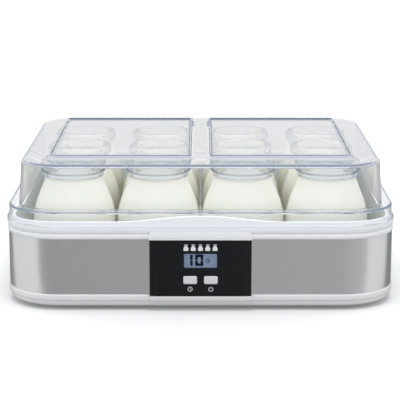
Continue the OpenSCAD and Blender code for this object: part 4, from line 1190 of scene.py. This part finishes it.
def area_light(name, at, target, size, power):
    """Square lamp that doesn't show in reflections."""
    data = bpy.data.lights.new(name, "AREA")
    data.size = size
    data.energy = power
    lamp = bpy.data.objects.new(name, data)
    bpy.context.scene.collection.objects.link(lamp)
    lamp.location = at
    lamp.rotation_euler = (Vector(target) - Vector(at)).to_track_quat("-Z", "Y").to_euler()
    lamp.visible_glossy = False


def level_ramp(tree, value, stops):
    """Grey level or colour that follows a 0 to 1 value."""
    ramp = add(tree, "ShaderNodeValToRGB")
    elements = ramp.color_ramp.elements
    elements[0].position, elements[1].position = stops[0][0], stops[-1][0]
    for position, _ in stops[1:-1]:
        elements.new(position)
    for element, (_, level) in zip(elements, stops):
        element.color = (*level, 1) if isinstance(level, tuple) else (level, level, level, 1)
    tree.links.new(value, ramp.inputs[0])
    return ramp.outputs[0]


def build_world(scene):
    """White to the eye, softboxes round the sides to reflections, darker cards to refractions."""
    world = bpy.data.worlds.new("studio")
    scene.world = world
    world.use_nodes = True
    tree = world.node_tree
    tree.nodes.clear()
    where = add(tree, "ShaderNodeTexCoord")
    split = add(tree, "ShaderNodeSeparateXYZ")
    tree.links.new(where.outputs["Generated"], split.inputs[0])
    forward = math_node(tree, "MULTIPLY", split.outputs["Y"], -1.0)
    angle = math_node(tree, "ARCTAN2", split.outputs["X"], forward)
    turn = math_node(tree, "ADD", math_node(tree, "DIVIDE", angle, 2 * math.pi), 0.5)
    rear = [(0.9, 0.34), (0.94, 1.0), (1, 1.0)]
    left = [(0.03, 0.5), (0.15, 0.5), (0.25, 0.56), (0.288, 1.14), (0.69, 1.05), (0.735, 0.34)] + rear
    right = [(0.03, 0.6), (0.12, 0.66), (0.315, 0.72), (0.355, 1.12), (0.65, 1.05), (0.695, 0.3)] + rear
    stops = [(0.5 - u / 2, level) for u, level in reversed(left)]
    stops += [(0.5 + u / 2, level) for u, level in right]
    around = level_ramp(tree, turn, stops)
    boxes = add(tree, "ShaderNodeBackground", Strength=1.0)
    tree.links.new(around, boxes.inputs["Color"])
    soft = add(tree, "ShaderNodeBackground", Color=(0.98, 0.99, 1, 1), Strength=1.0)
    white = add(tree, "ShaderNodeBackground", Color=(1, 1, 1, 1), Strength=1.05)
    cards = add(tree, "ShaderNodeBackground", Strength=1.0)
    ahead = math_node(tree, "DIVIDE", math_node(tree, "ARCCOSINE", split.outputs["Y"]), math.pi)
    dark = (0.2, 0.26, 0.36)
    cards_level = level_ramp(
        tree, ahead, [(0, (1, 1, 1)), (0.13, (1, 1, 1)), (0.22, (0.6, 0.66, 0.74)), (0.34, dark), (1, dark)]
    )
    tree.links.new(cards_level, cards.inputs["Color"])
    path = add(tree, "ShaderNodeLightPath")
    chosen = soft
    for flag, special in (("Is Glossy Ray", boxes), ("Is Transmission Ray", cards), ("Is Camera Ray", white)):
        mix = add(tree, "ShaderNodeMixShader")
        tree.links.new(path.outputs[flag], mix.inputs[0])
        tree.links.new(chosen.outputs[0], mix.inputs[1])
        tree.links.new(special.outputs[0], mix.inputs[2])
        chosen = mix
    output = add(tree, "ShaderNodeOutputWorld")
    tree.links.new(chosen.outputs[0], output.inputs["Surface"])


paint_cad_nodes()
build_lid()
for number in range(1, JAR_COUNT + 1):
    build_jar(number)
build_housing()
build_band()
build_cover()
build_fascia()
build_buttons()
build_display()
build_icons()
build_studio()
